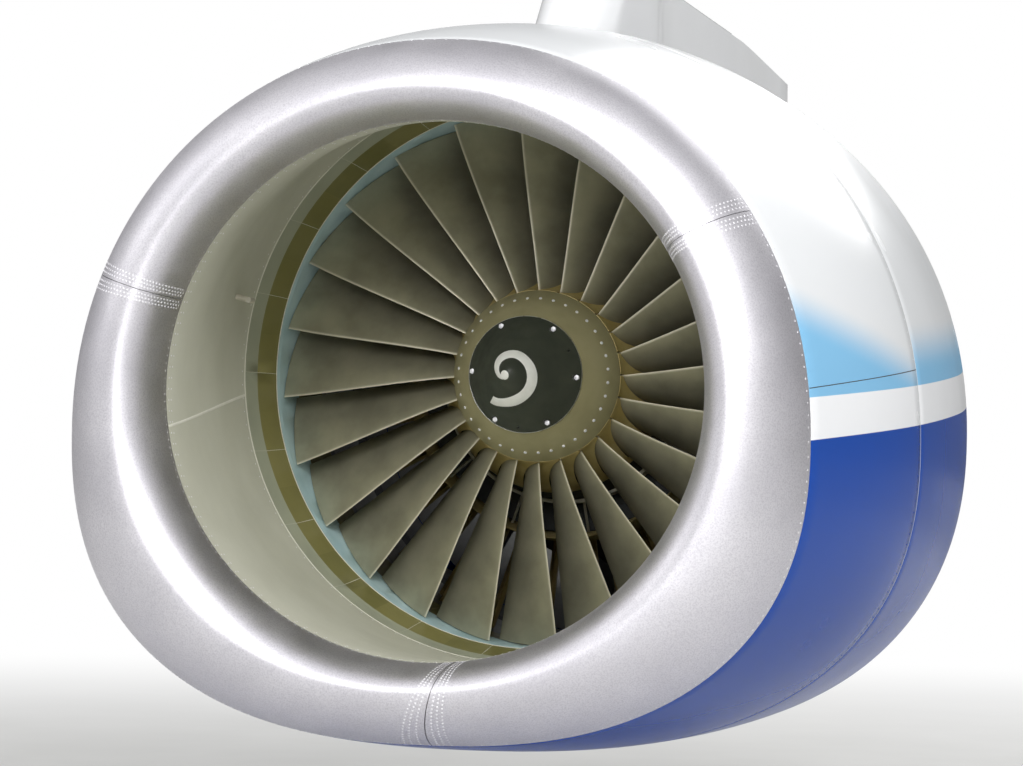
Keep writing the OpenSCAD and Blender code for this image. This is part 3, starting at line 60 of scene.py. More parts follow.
class Side(Enum):
    """The two halves of the nacelle, by the sign of X."""

    LEFT = -1
    RIGHT = 1

    @property
    def word(self) -> str:
        """The word used in names of nodes and bodies."""
        return self.name.lower()


# ---------------------------------------------------------------- numbers


def mix(a: Values, b: Values, share: Values) -> Values:
    """Blends a into b by a share from 0 to 1."""
    return a + (b - a) * share


def ease(share: Values) -> Values:
    """Smooths a share from 0 to 1 at both of its ends."""
    return share * share * (3.0 - 2.0 * share)


def spow(value: Values, power: Values) -> Values:
    """Raises a value to a power and keeps its sign."""
    return np.sign(value) * np.abs(value) ** power


def linear(code: str) -> tuple[float, float, float, float]:
    """Turns an sRGB hex value into linear colour.

    Args:
        code: the colour as #rrggbb.

    Returns:
        Linear red, green, blue and an alpha of 1.
    """
    parts = [int(code[k:k + 2], 16) / 255.0 for k in (1, 3, 5)]
    flat = [v / 12.92 if v <= 0.04045 else ((v + 0.055) / 1.055) ** 2.4 for v in parts]
    return (flat[0], flat[1], flat[2], 1.0)


def stack(x: Values, y: Values, z: Values) -> np.ndarray:
    """Joins coordinates of any matching shapes into points."""
    return np.stack(np.broadcast_arrays(x, y, z), axis=-1)


def at_clock(points: np.ndarray, angle: float) -> np.ndarray:
    """Turns points round the engine axis to a clock angle in degrees."""
    c, s = math.cos(math.radians(angle)), math.sin(math.radians(angle))
    x, y, z = points[..., 0], points[..., 1], points[..., 2]
    return stack(x * c + z * s, y, z * c - x * s)


# ---------------------------------------------------------------- materials


def add_node(tree: bpy.types.NodeTree, kind: str, settings: Optional[dict] = None,
             inputs: Optional[dict] = None) -> bpy.types.Node:
    """Adds one node to a tree, sets it up and links its inputs.

    Args:
        tree: the node tree.
        kind: the type name of the node.
        settings: attributes of the node and their values.
        inputs: input names or numbers, with a value or an output socket each.

    Returns:
        The new node.
    """
    node = tree.nodes.new(kind)
    for key, value in (settings or {}).items():
        setattr(node, key, value)
    for key, value in (inputs or {}).items():
        if isinstance(value, bpy.types.NodeSocket):
            tree.links.new(value, node.inputs[key])
        else:
            node.inputs[key].default_value = value
    return node


@dataclass(frozen=True)
class Finish:
    """A surface with two tones, a changing gloss and a fine grain."""

    name: str
    colour: str
    second: str
    metallic: float = 0.0
    rough: tuple[float, float] = (0.35, 0.45)
    patch_mm: float = 180.0
    grain_mm: float = 1.5
    grain_depth_mm: float = 0.05
    stretch: tuple[float, float, float] = (1.0, 1.0, 1.0)
    coat: float = 0.0
    coat_rough: float = 0.05
    specular: float = 0.5

    def tone(self, tree: bpy.types.NodeTree, place: bpy.types.Node) -> bpy.types.NodeSocket:
        """Mixes the two tones by a soft cloudy pattern and returns the colour."""
        cloud = add_node(tree, "ShaderNodeTexNoise", {}, {
            "Vector": place.outputs["Vector"], "Scale": 1000.0 / self.patch_mm,
            "Detail": 4.0, "Roughness": 0.55})
        band = add_node(tree, "ShaderNodeMapRange", {"interpolation_type": "SMOOTHSTEP"}, {
            "Value": cloud.outputs["Fac"], "From Min": 0.25, "From Max": 0.75})
        blend = add_node(tree, "ShaderNodeMix", {"data_type": "RGBA"}, {
            0: band.outputs["Result"], 6: linear(self.colour), 7: linear(self.second)})
        return blend.outputs[2]

    def material(self) -> bpy.types.Material:
        """Builds the material, or returns the one already built.

        Returns:
            The material that carries this finish's name.
        """
        known = bpy.data.materials.get(self.name)
        if known:
            return known
        made = bpy.data.materials.new(self.name)
        made.use_nodes = True
        tree = made.node_tree
        tree.nodes.clear()
        where = add_node(tree, "ShaderNodeTexCoord")
        place = add_node(tree, "ShaderNodeMapping", {}, {
            "Vector": where.outputs["Object"], "Scale": self.stretch})
        grain = add_node(tree, "ShaderNodeTexNoise", {}, {
            "Vector": place.outputs["Vector"], "Scale": 1000.0 / self.grain_mm, "Detail": 2.0})
        bump = add_node(tree, "ShaderNodeBump", {}, {
            "Height": grain.outputs["Fac"], "Strength": 1.0, "Distance": self.grain_depth_mm / 1000.0})
        smear = add_node(tree, "ShaderNodeTexNoise", {}, {
            "Vector": place.outputs["Vector"], "Scale": 2600.0 / self.patch_mm, "Detail": 3.0})
        gloss = add_node(tree, "ShaderNodeMapRange", {"interpolation_type": "SMOOTHSTEP"}, {
            "Value": smear.outputs["Fac"], "From Min": 0.2, "From Max": 0.8,
            "To Min": self.rough[0], "To Max": self.rough[1]})
        shader = add_node(tree, "ShaderNodeBsdfPrincipled", {}, {
            "Base Color": self.tone(tree, place), "Metallic": self.metallic,
            "Roughness": gloss.outputs["Result"], "Normal": bump.outputs["Normal"],
            "Coat Weight": self.coat, "Coat Roughness": self.coat_rough, "Specular IOR Level": self.specular})
        add_node(tree, "ShaderNodeOutputMaterial", {}, {"Surface": shader.outputs["BSDF"]})
        return made


@dataclass(frozen=True)
class LiveryPaint(Finish):
    """Gloss enamel in white, with a stripe, a fading patch above it and deep blue below."""

    sky: str = "#86c0e6"
    deep: str = "#1046a2"
    stripe: str = "#f3f4f6"
    low_m: float = -1.412
    width_m: float = 0.106
    slope: float = 0.075
    # Stations in metres: where the sky tone starts to sink, where it ends and where the cowl begins.
    sink_m: tuple[float, float] = (-1.76, -1.07)
    cowl_m: float = -1.048
    # How far the sky tone sinks, how much it rises again, and the band in which it fades.
    drop_m: float = 0.197
    rise_m: float = 0.07
    fade_m: tuple[float, float] = (0.16, 0.30)
    blur_m: float = 0.0006

    def tone(self, tree: bpy.types.NodeTree, place: bpy.types.Node) -> bpy.types.NodeSocket:
        """Lays the stripe by height above the keel, rising gently to the rear."""
        where = add_node(tree, "ShaderNodeTexCoord")
        axes = add_node(tree, "ShaderNodeSeparateXYZ", {}, {"Vector": where.outputs["Object"]})
        rise = add_node(tree, "ShaderNodeMath", {"operation": "MULTIPLY_ADD"}, {
            0: axes.outputs["Y"], 1: -self.slope, 2: axes.outputs["Z"]})
        # The height above the stripe's lower edge, which is set at the station of the blade tips.
        height = add_node(tree, "ShaderNodeMath", {"operation": "ADD"}, {
            0: rise.outputs["Value"], 1: -(self.low_m - OFFSET_MM[1] / 1000.0 * self.slope)})
        below = add_node(tree, "ShaderNodeMapRange", {}, {
            "Value": height.outputs["Value"], "From Min": -self.blur_m, "From Max": self.blur_m})
        above = add_node(tree, "ShaderNodeMapRange", {}, {
            "Value": height.outputs["Value"],
            "From Min": self.width_m - self.blur_m, "From Max": self.width_m + self.blur_m})
        # The sky tone sinks towards the rear of the inlet and stands a little higher on the cowl behind it.
        sink = add_node(tree, "ShaderNodeMapRange", {}, {
            "Value": axes.outputs["Y"], "From Min": self.sink_m[0], "From Max": self.sink_m[1],
            "To Min": 0.0, "To Max": self.drop_m})
        behind = add_node(tree, "ShaderNodeMath", {"operation": "GREATER_THAN"}, {
            0: axes.outputs["Y"], 1: self.cowl_m})
        slant = add_node(tree, "ShaderNodeMath", {"operation": "ADD"}, {
            0: sink.outputs["Result"], 1: height.outputs["Value"]})
        slant = add_node(tree, "ShaderNodeMath", {"operation": "MULTIPLY_ADD"}, {
            0: behind.outputs["Value"], 1: -self.rise_m, 2: slant.outputs["Value"]})
        fade = add_node(tree, "ShaderNodeMapRange", {"interpolation_type": "SMOOTHSTEP"}, {
            "Value": slant.outputs["Value"],
            "From Min": self.width_m + self.fade_m[0], "From Max": self.width_m + self.fade_m[1]})
        sky = add_node(tree, "ShaderNodeMix", {"data_type": "RGBA"}, {
            0: fade.outputs["Result"], 6: linear(self.sky), 7: linear(self.colour)})
        upper = add_node(tree, "ShaderNodeMix", {"data_type": "RGBA"}, {
            0: above.outputs["Result"], 6: linear(self.stripe), 7: sky.outputs[2]})
        whole = add_node(tree, "ShaderNodeMix", {"data_type": "RGBA"}, {
            0: below.outputs["Result"], 6: linear(self.deep), 7: upper.outputs[2]})
        return whole.outputs[2]


@dataclass(frozen=True)
class RingFinish(Finish):
    """A finish whose tone steps from panel to panel round the engine axis."""

    count: int = 22
    swing: float = 0.35
    fore: str = "#a4a893"
    seam_m: float = -0.920

    def tone(self, tree: bpy.types.NodeTree, place: bpy.types.Node) -> bpy.types.NodeSocket:
        """Gives each panel a shade of its own behind the seam and one even tone ahead of it."""
        where = add_node(tree, "ShaderNodeTexCoord")
        axes = add_node(tree, "ShaderNodeSeparateXYZ", {}, {"Vector": where.outputs["Object"]})
        high = add_node(tree, "ShaderNodeMath", {"operation": "ADD"}, {
            0: axes.outputs["Z"], 1: -OFFSET_MM[2] / 1000.0})
        angle = add_node(tree, "ShaderNodeMath", {"operation": "ARCTAN2"}, {
            0: axes.outputs["X"], 1: high.outputs["Value"]})
        steps = add_node(tree, "ShaderNodeMath", {"operation": "MULTIPLY_ADD"}, {
            0: angle.outputs["Value"], 1: self.count / TAU, 2: 100.0})
        cell = add_node(tree, "ShaderNodeMath", {"operation": "FLOOR"}, {0: steps.outputs["Value"]})
        shade = add_node(tree, "ShaderNodeTexWhiteNoise", {"noise_dimensions": "1D"}, {
            "W": cell.outputs["Value"]})
        share = add_node(tree, "ShaderNodeMath", {"operation": "MULTIPLY"}, {
            0: shade.outputs["Value"], 1: self.swing * 2.0})
        cloud = add_node(tree, "ShaderNodeTexNoise", {}, {
            "Vector": place.outputs["Vector"], "Scale": 1000.0 / self.patch_mm, "Detail": 3.0})
        both = add_node(tree, "ShaderNodeMath", {"operation": "MULTIPLY_ADD", "use_clamp": True}, {
            0: cloud.outputs["Fac"], 1: 0.4, 2: share.outputs["Value"]})
        blend = add_node(tree, "ShaderNodeMix", {"data_type": "RGBA"}, {
            0: both.outputs["Value"], 6: linear(self.colour), 7: linear(self.second)})
        behind = add_node(tree, "ShaderNodeMapRange", {}, {
            "Value": axes.outputs["Y"], "From Min": self.seam_m - EDGE_M, "From Max": self.seam_m + EDGE_M})
        whole = add_node(tree, "ShaderNodeMix", {"data_type": "RGBA"}, {
            0: behind.outputs["Result"], 6: linear(self.fore), 7: blend.outputs[2]})
        return whole.outputs[2]


@dataclass(frozen=True)
class FloorFinish(Finish):
    """A pale floor that fades into the white surround far from the object, for the camera alone."""

    fade_m: tuple[float, float] = (4.0, 13.0)

    def material(self) -> bpy.types.Material:
        """Builds the floor's material with its fade."""
        made = Finish.material(self)
        tree = made.node_tree
        shader = next(n for n in tree.nodes if n.type == "BSDF_PRINCIPLED")
        output = next(n for n in tree.nodes if n.type == "OUTPUT_MATERIAL")
        where = add_node(tree, "ShaderNodeTexCoord")
        reach = add_node(tree, "ShaderNodeVectorMath", {"operation": "LENGTH"}, {0: where.outputs["Object"]})
        far = add_node(tree, "ShaderNodeMapRange", {"interpolation_type": "SMOOTHSTEP"}, {
            "Value": reach.outputs["Value"], "From Min": self.fade_m[0], "From Max": self.fade_m[1]})
        path = add_node(tree, "ShaderNodeLightPath")
        share = add_node(tree, "ShaderNodeMath", {"operation": "MULTIPLY"}, {
            0: far.outputs["Result"], 1: path.outputs["Is Camera Ray"]})
        white = add_node(tree, "ShaderNodeEmission", {}, {"Color": (1.0, 1.0, 1.0, 1.0), "Strength": 1.0})
        blend = add_node(tree, "ShaderNodeMixShader", {}, {
            0: share.outputs["Value"], 1: shader.outputs["BSDF"], 2: white.outputs["Emission"]})
        tree.links.new(blend.outputs["Shader"], output.inputs["Surface"])
        return made


@dataclass(frozen=True)
class BuffedSheet(Finish):
    """Buffed sheet metal whose scratches glitter as a fine grain."""

    dull: str = "#c3c0c8"
    speck_mm: float = 4.0

    def tone(self, tree: bpy.types.NodeTree, place: bpy.types.Node) -> bpy.types.NodeSocket:
        """Breaks the even tone up into fine specks."""
        base = Finish.tone(self, tree, place)
        specks = add_node(tree, "ShaderNodeTexNoise", {}, {
            "Vector": place.outputs["Vector"], "Scale": 1000.0 / self.speck_mm,
            "Detail": 2.0, "Roughness": 0.7})
        share = add_node(tree, "ShaderNodeMapRange", {}, {
            "Value": specks.outputs["Fac"], "From Min": 0.42, "From Max": 0.68, "To Min": 0.0, "To Max": 0.6})
        blend = add_node(tree, "ShaderNodeMix", {"data_type": "RGBA"}, {
            0: share.outputs["Result"], 6: base, 7: linear(self.dull)})
        return blend.outputs[2]


@dataclass(frozen=True)
class BladeTitanium(Finish):
    """Forged titanium with a bright strip along its leading edge: partly rubbed bare by rain and dust, partly
    a painted highlight.
    """

    bright: str = "#dcd6c2"
    edge: float = 0.06

    def tone(self, tree: bpy.types.NodeTree, place: bpy.types.Node) -> bpy.types.NodeSocket:
        """Brightens the first millimetres behind the leading edge, by the blade's own UV map."""
        base = Finish.tone(self, tree, place)
        where = add_node(tree, "ShaderNodeTexCoord")
        axes = add_node(tree, "ShaderNodeSeparateXYZ", {}, {"Vector": where.outputs["UV"]})
        fold = add_node(tree, "ShaderNodeMath", {"operation": "PINGPONG"}, {0: axes.outputs["X"], 1: 0.5})
        # The bright strip behind the leading edge: partly wear, partly a painted highlight.
        wear_and_highlight = add_node(tree, "ShaderNodeMapRange", {}, {
            "Value": fold.outputs["Value"], "From Min": self.edge * 0.5, "From Max": self.edge,
            "To Min": 1.0, "To Max": 0.0})
        blend = add_node(tree, "ShaderNodeMix", {"data_type": "RGBA"}, {
            0: wear_and_highlight.outputs["Result"], 6: base, 7: linear(self.bright)})
        return blend.outputs[2]


# Spun and buffed aluminium sheet: a soft sheen with a faint sparkle from its fine scratches.
LIP_METAL = BuffedSheet("polished_aluminium_lip", "#e9e7ec", "#dddbe1", 1.0, (0.43, 0.50), 260.0, 3.0, 0.08)
# Two-part gloss enamel over primer: mirror clear coat over a flat colour.
LIVERY = LiveryPaint("nacelle_enamel", "#e6e8ea", "#e3e5e8", 0.0, (0.22, 0.28), 900.0, 9.0, 0.001,
                     coat=0.04, coat_rough=0.08, specular=0.26)
# Grey-green epoxy on the perforated liner of the inlet: flat, a little chalky.
LINER_GREEN = Finish("inlet_liner_epoxy", "#cbcbbb", "#c0c0af", 0.0, (0.42, 0.55), 320.0, 3.0, 0.06)
# Olive phenolic sealer on glass-fibre panels: half gloss, with each panel cured to its own shade.
PANEL_OLIVE = RingFinish("phenolic_panel_olive", "#6d6b3d", "#8d8753", 0.0, (0.30, 0.42), 120.0, 4.0, 0.05)
# Pale blue abradable compound, spread and machined round: matt and even.
RUB_STRIP = Finish("abradable_compound", "#bcd6da", "#a9c8ce", 0.0, (0.55, 0.7), 90.0, 2.0, 0.08)
# Forged and shot-peened titanium with its grey-brown shop finish: a dull satin.
BLADE = BladeTitanium("peened_titanium_blade", "#b3af96", "#989580", 0.55, (0.36, 0.46), 110.0, 1.6, 0.02,
                      stretch=(1.0, 0.35, 1.0))
# Bronze-tinted anodised aluminium of the platforms between the blades.
PLATFORM = Finish("gold_anodised_platform", "#d9c687", "#c7b06d", 0.35, (0.32, 0.42), 60.0, 1.8, 0.03)
# Near-black polyurethane rain coat on the front cone: satin with small pits.
CONE_DARK = Finish("rain_coat_dark", "#33372f", "#3f4238", 0.0, (0.36, 0.5), 70.0, 2.2, 0.05)
# Olive-grey sulphuric anodising on the rear cone.
CONE_OLIVE = Finish("anodised_cone_olive", "#b3ab84", "#a59d77", 0.25, (0.34, 0.44), 90.0, 2.0, 0.02)
# Marker enamel, brushed on by stencil.
MARK_WHITE = Finish("marker_enamel_white", "#f0f0ea", "#e4e4dd", 0.0, (0.4, 0.5), 40.0, 2.0, 0.03)
# Cadmium-plated and buffed steel of bolts, rivets and pins.
FASTENER = Finish("plated_fastener_steel", "#d2d2cf", "#b9b9b6", 1.0, (0.25, 0.35), 30.0, 1.0, 0.02)
# Buffed heads of flush rivets in bare and painted sheet, in a near-white, mostly diffuse tone: partly their
# own bright metal, partly a painted glint where they catch the light.
RIVET_BRIGHT = Finish("buffed_rivet_head", "#f5f4f7", "#ebeaee", 0.25, (0.3, 0.4), 30.0, 1.0, 0.01)
# Dull grey sealer on the perforated walls of the bypass duct.
BYPASS_GREY = Finish("bypass_duct_sealer", "#75776e", "#686a62", 0.0, (0.5, 0.62), 160.0, 2.5, 0.05)
# Amber epoxy coat of the core's inlet.
CORE_AMBER = Finish("amber_epoxy_coat", "#d6c48c", "#c2af77", 0.15, (0.36, 0.48), 90.0, 2.0, 0.03)
# Machined steel of shafts, disks and bearings, with a light oil film.
STEEL = Finish("machined_steel", "#9a9da0", "#888b8e", 0.9, (0.32, 0.45), 120.0, 1.2, 0.02)
# Bare stainless steel of the duct's probe and of the booster's inlet vanes.
BARE_STEEL = Finish("bare_stainless_steel", "#dfdbce", "#c8c3b4", 0.4, (0.32, 0.44), 50.0, 1.4, 0.02)
# Blackened steel and painted cascades.
DARK_STEEL = Finish("phosphated_steel", "#4f5153", "#44474a", 0.6, (0.45, 0.6), 90.0, 1.6, 0.04)
# Cast and milled aluminium housings.
ALLOY = Finish("milled_aluminium", "#b4b6b4", "#a3a6a4", 0.85, (0.38, 0.5), 140.0, 1.4, 0.03)
# Nickel alloy browned and blued by heat.
HOT_METAL = Finish("heat_tinted_nickel", "#86735f", "#6d6a72", 0.9, (0.36, 0.5), 160.0, 1.6, 0.03)
# Amber-tinted glass-fibre and varnish of the guide vanes.
VANE_GOLD = Finish("varnished_guide_vane", "#cab67c", "#b5a068", 0.3, (0.34, 0.46), 80.0, 2.0, 0.04)
# Grey primer inside cowls and bulkheads: even and matt.
PRIMER = Finish("epoxy_primer_grey", "#aab0a6", "#a0a69c", 0.0, (0.5, 0.62), 200.0, 3.0, 0.05)
# White enamel of the pylon fairing and strake, without the stripe.
FAIRING_WHITE = Finish("fairing_enamel", "#f2f3f4", "#eff0f2", 0.0, (0.22, 0.28), 900.0, 9.0, 0.001,
                       coat=0.04, coat_rough=0.08, specular=0.26)
# Moulded silicone seal between the cowls' edges and the fairing: dark, matt.
RUBBER = Finish("silicone_edge_seal", "#3d3f41", "#353739", 0.0, (0.6, 0.75), 60.0, 1.5, 0.03)
# Fresh white sealant in the seam between inlet and cowls.
SEALANT_PALE = Finish("white_seam_sealant", "#f0f1f1", "#e6e7e7", 0.0, (0.45, 0.55), 25.0, 2.0, 0.02)
# Polysulphide sealant wiped into the joints.
SEALANT = Finish("wiped_sealant", "#e6e5d9", "#dddccf", 0.0, (0.5, 0.65), 25.0, 2.0, 0.08)
# Pale painted floor of the studio: flat and even.
FLOOR = FloorFinish("pale_studio_floor", "#d3d3d1", "#cdcdcb", 0.0, (0.6, 0.7), 900.0, 6.0, 0.05)


# ---------------------------------------------------------------- modelling helpers


def deselect() -> None:
    """Leaves nothing selected and no mesh in edit mode."""
    if bpy.context.mode != "OBJECT":
        bpy.ops.object.mode_set(mode="OBJECT")
    bpy.ops.object.select_all(action="DESELECT")


def choose(obj: bpy.types.Object) -> None:
    """Makes one object the only selected and active one."""
    deselect()
    obj.select_set(True)
    bpy.context.view_layer.objects.active = obj


def in_edit(obj: bpy.types.Object, work: Callable[[], None]) -> None:
    """Runs operators in edit mode with the whole mesh selected."""
    choose(obj)
    bpy.ops.object.mode_set(mode="EDIT")
    bpy.ops.mesh.select_all(action="SELECT")
    work()
    bpy.ops.object.mode_set(mode="OBJECT")


def clean(obj: bpy.types.Object, fill: bool = False) -> None:
    """Merges doubles, closes holes if asked and points the faces outwards."""

    def work() -> None:
        """The operators, in order."""
        bpy.ops.mesh.remove_doubles(threshold=WELD_M)
        if fill:
            bpy.ops.mesh.fill_holes(sides=0)
        bpy.ops.mesh.select_all(action="SELECT")
        bpy.ops.mesh.normals_make_consistent(inside=False)

    in_edit(obj, work)


def loft(name: str, loops: np.ndarray, ring_rows: bool = False, ring_cols: bool = True,
         capped: bool = False) -> bpy.types.Object:
    """Shapes a grid into a surface that runs through loops of points.

    Args:
        name: the name of the new object.
        loops: points in engine millimetres, by row and column.
        ring_rows: whether the last row closes to the first.
        ring_cols: whether each row is a closed loop.
        capped: whether the open ends are filled.

    Returns:
        The new object, with its faces outwards where it is closed.
    """
    if ring_cols:
        loops = np.concatenate([loops, loops[:, :1]], axis=1)
    if ring_rows:
        loops = np.concatenate([loops, loops[:1]], axis=0)
    rows, cols = loops.shape[:2]
    deselect()
    bpy.ops.mesh.primitive_grid_add(x_subdivisions=cols - 1, y_subdivisions=rows - 1, size=2.0)
    obj = bpy.context.active_object
    obj.name = name
    flat = np.empty(len(obj.data.vertices) * 3)
    obj.data.vertices.foreach_get("co", flat)
    flat = flat.reshape(-1, 3)
    col = np.rint((flat[:, 0] + 1.0) / 2.0 * (cols - 1)).astype(int)
    row = np.rint((flat[:, 1] + 1.0) / 2.0 * (rows - 1)).astype(int)
    obj.data.vertices.foreach_set("co", ((loops[row, col] + OFFSET_MM) / 1000.0).ravel())
    obj.data.update()
    clean(obj, fill=capped)
    return obj


def turned(name: str, profile: Sequence[tuple[float, float]], steps: int = 192,
           angle: float = 360.0, start: float = 0.0) -> bpy.types.Object:
    """Spins a closed profile round the engine axis.

    Args:
        name: the name of the new object.
        profile: radius and station of each corner, in millimetres.
        steps: number of steps round the axis.
        angle: the part of a turn, in degrees.
        start: clock angle where it begins.

    Returns:
        The new object.
    """
    deselect()
    bpy.ops.mesh.primitive_circle_add(vertices=len(profile), radius=1.0, fill_type="NOTHING")
    obj = bpy.context.active_object
    obj.name = name
    points = np.array([(0.0, y, r) for r, y in profile])
    points = (at_clock(points, start) + OFFSET_MM) / 1000.0
    obj.data.vertices.foreach_set("co", points.ravel())
    obj.data.update()

    def work() -> None:
        """Spins the selected outline."""
        bpy.ops.mesh.spin(steps=steps, angle=math.radians(angle), center=tuple(OFFSET_MM / 1000.0),
                          axis=(0.0, 1.0, 0.0))

    in_edit(obj, work)
    clean(obj, fill=angle < 360.0)
    return obj


def box(name: str, low: Sequence[float], high: Sequence[float], bevel_mm: float = 1.0) -> bpy.types.Object:
    """Adds a block between two corners in engine millimetres and rounds its edges."""
    low_v, high_v = np.array(low, float), np.array(high, float)
    deselect()
    bpy.ops.mesh.primitive_cube_add(size=1.0)
    obj = bpy.context.active_object
    obj.name = name
    flat = np.empty(24)
    obj.data.vertices.foreach_get("co", flat)
    points = (low_v + high_v) / 2.0 + flat.reshape(-1, 3) * (high_v - low_v)
    obj.data.vertices.foreach_set("co", ((points + OFFSET_MM) / 1000.0).ravel())
    obj.data.update()
    if bevel_mm > 0:
        in_edit(obj, lambda: bpy.ops.mesh.bevel(offset=bevel_mm / 1000.0, segments=2, affect="EDGES"))
    return obj


def rod(name: str, start: Sequence[float], end: Sequence[float], radius_mm: float, sides: int = 32,
        bevel_mm: float = 0.5) -> bpy.types.Object:
    """Adds a round bar between two points in engine millimetres, with eased rims."""
    a = (np.array(start, float) + OFFSET_MM) / 1000.0
    b = (np.array(end, float) + OFFSET_MM) / 1000.0
    way = Vector(b - a)
    deselect()
    bpy.ops.mesh.primitive_cylinder_add(vertices=sides, radius=radius_mm / 1000.0, depth=way.length)
    obj = bpy.context.active_object
    obj.name = name
    turn = way.to_track_quat("Z", "Y").to_matrix().to_4x4()
    obj.data.transform(Matrix.Translation(Vector((a + b) / 2.0)) @ turn)
    if bevel_mm > 0:
        modify(obj, "BEVEL", width=bevel_mm / 1000.0, segments=2, limit_method="ANGLE",
               angle_limit=math.radians(40.0))
    return obj


def modify(obj: bpy.types.Object, kind: str, **settings: object) -> bpy.types.Object:
    """Adds a modifier with its settings and applies it."""
    choose(obj)
    made = obj.modifiers.new(kind.lower(), kind)
    for key, value in settings.items():
        setattr(made, key, value)
    bpy.ops.object.modifier_apply(modifier=made.name)
    return obj


def rounded(obj: bpy.types.Object, width_mm: float, angle: float = 40.0,
            segments: int = 2) -> bpy.types.Object:
    """Eases the sharp edges of an object."""
    return modify(obj, "BEVEL", width=width_mm / 1000.0, segments=segments, limit_method="ANGLE",
                  angle_limit=math.radians(angle), use_clamp_overlap=True)


def cut(obj: bpy.types.Object, tool: bpy.types.Object) -> bpy.types.Object:
    """Takes one closed object out of another and removes the tool."""
    modify(obj, "BOOLEAN", operation="DIFFERENCE", object=tool, solver="EXACT")
    bpy.data.objects.remove(tool, do_unlink=True)
    return obj


def joined(name: str, parts: Sequence[bpy.types.Object]) -> bpy.types.Object:
    """Joins separate solids into one named object."""
    choose(parts[0])
    for part in parts[1:]:
        part.select_set(True)
    bpy.ops.object.join()
    bpy.context.active_object.name = name
    return bpy.context.active_object


def scattered(name: str, seed: bpy.types.Object, places: Sequence[Matrix]) -> bpy.types.Object:
    """Copies a small seed to many places as one mesh and removes the seed.

    Args:
        name: the name of the new object.
        seed: the object to copy, modelled round its own origin.
        places: a matrix for each copy, in metres of the shared frame.

    Returns:
        The object that holds all the copies.
    """
    count = len(places)
    points = np.empty(len(seed.data.vertices) * 3)
    seed.data.vertices.foreach_get("co", points)
    points = np.concatenate([points.reshape(-1, 3), np.ones((len(seed.data.vertices), 1))], axis=1)
    faces = [tuple(p.vertices) for p in seed.data.polygons]
    size = len(seed.data.vertices)
    everywhere = np.concatenate([(points @ np.array(m).T)[:, :3] for m in places])
    mesh = bpy.data.meshes.new(name)
    mesh.from_pydata(everywhere.tolist(), [],
                     [tuple(v + k * size for v in f) for k in range(count) for f in faces])
    mesh.update()
    obj = bpy.data.objects.new(name, mesh)
    bpy.context.scene.collection.objects.link(obj)
    bpy.data.objects.remove(seed, do_unlink=True)
    return obj


def rivet_seed(radius_mm: float, height_mm: float, sides: int = 10) -> bpy.types.Object:
    """Models one low rivet head: a disc whose top face is drawn in and rounded."""
    deselect()
    bpy.ops.mesh.primitive_cylinder_add(vertices=sides, radius=radius_mm / 1000.0, depth=height_mm / 1000.0)
    seed = bpy.context.active_object
    choose(seed)
    bpy.ops.object.mode_set(mode="EDIT")
    bpy.ops.mesh.select_all(action="DESELECT")
    bpy.ops.object.mode_set(mode="OBJECT")
    for face in seed.data.polygons:
        face.select = face.normal.z > 0.9
    bpy.ops.object.mode_set(mode="EDIT")
    bpy.ops.mesh.inset(thickness=radius_mm * 0.35 / 1000.0, depth=height_mm * 0.3 / 1000.0)
    bpy.ops.object.mode_set(mode="OBJECT")
    return seed


def stand(point: np.ndarray, normal: np.ndarray) -> Matrix:
    """A place on a surface in engine millimetres, with Z along the surface's normal."""
    turn = Vector(normal).to_track_quat("Z", "Y").to_matrix().to_4x4()
    return Matrix.Translation(Vector((point + OFFSET_MM) / 1000.0)) @ turn


def dress(obj: bpy.types.Object, finish: Finish, body: str, *nodes: str, angle: float = 32.0,
          slot: str = "") -> bpy.types.Object:
    """Gives a finished piece its shading, material, body and the nodes it stands for.

    Args:
        obj: the piece.
        finish: the finish to lay on it.
        body: the body that it rides on.
        nodes: the CAD nodes that it replaces, if any.
        angle: the greatest angle between smooth faces, in degrees.
        slot: the record's material slot; not used.

    Returns:
        The same piece.
    """
    choose(obj)
    bpy.ops.object.transform_apply(location=True, rotation=True, scale=True)
    bpy.ops.object.shade_smooth_by_angle(angle=math.radians(angle))
    obj.data.materials.clear()
    obj.data.materials.append(finish.material())
    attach(obj, body)
    if nodes:
        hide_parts(*nodes)
    LOG.info("%s: %d faces, rides %s", obj.name, len(obj.data.polygons), body)
    return obj


def line_inside(obj: bpy.types.Object, finish: Finish) -> None:
    """Gives the faces that look towards the engine's axis a finish of their own."""
    obj.data.materials.append(finish.material())
    for face in obj.data.polygons:
        out = Vector((face.center.x, 0.0, face.center.z - OFFSET_MM[2] / 1000.0)).normalized()
        if face.normal.dot(out) < -0.1:
            face.material_index = 1


def refined_copy(node: str, finish: Finish, body: str, bevel_mm: float = 0.0, angle: float = 32.0,
                 slot: str = "") -> bpy.types.Object:
    """Copies a CAD node, merges its triangles, eases its edges and stands for it.

    Args:
        node: the CAD node.
        finish: the finish to lay on the copy.
        body: the body that it rides on.
        bevel_mm: width of the eased edges, or 0 for none.
        angle: the greatest angle between smooth faces, in degrees.
        slot: the record's material slot.

    Returns:
        The new piece.
    """
    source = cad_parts[node]
    copy = bpy.data.objects.new(node + "_dressed", source.data.copy())
    bpy.context.scene.collection.objects.link(copy)

    def work() -> None:
        """Welds the loose triangles and clears edges that lie in flat faces."""
        bpy.ops.mesh.remove_doubles(threshold=WELD_M)
        bpy.ops.mesh.dissolve_limited(angle_limit=math.radians(0.8))

    in_edit(copy, work)
    if bevel_mm > 0:
        rounded(copy, bevel_mm)
    return dress(copy, finish, body, node, angle=angle, slot=slot)


# ---------------------------------------------------------------- the nacelle's form


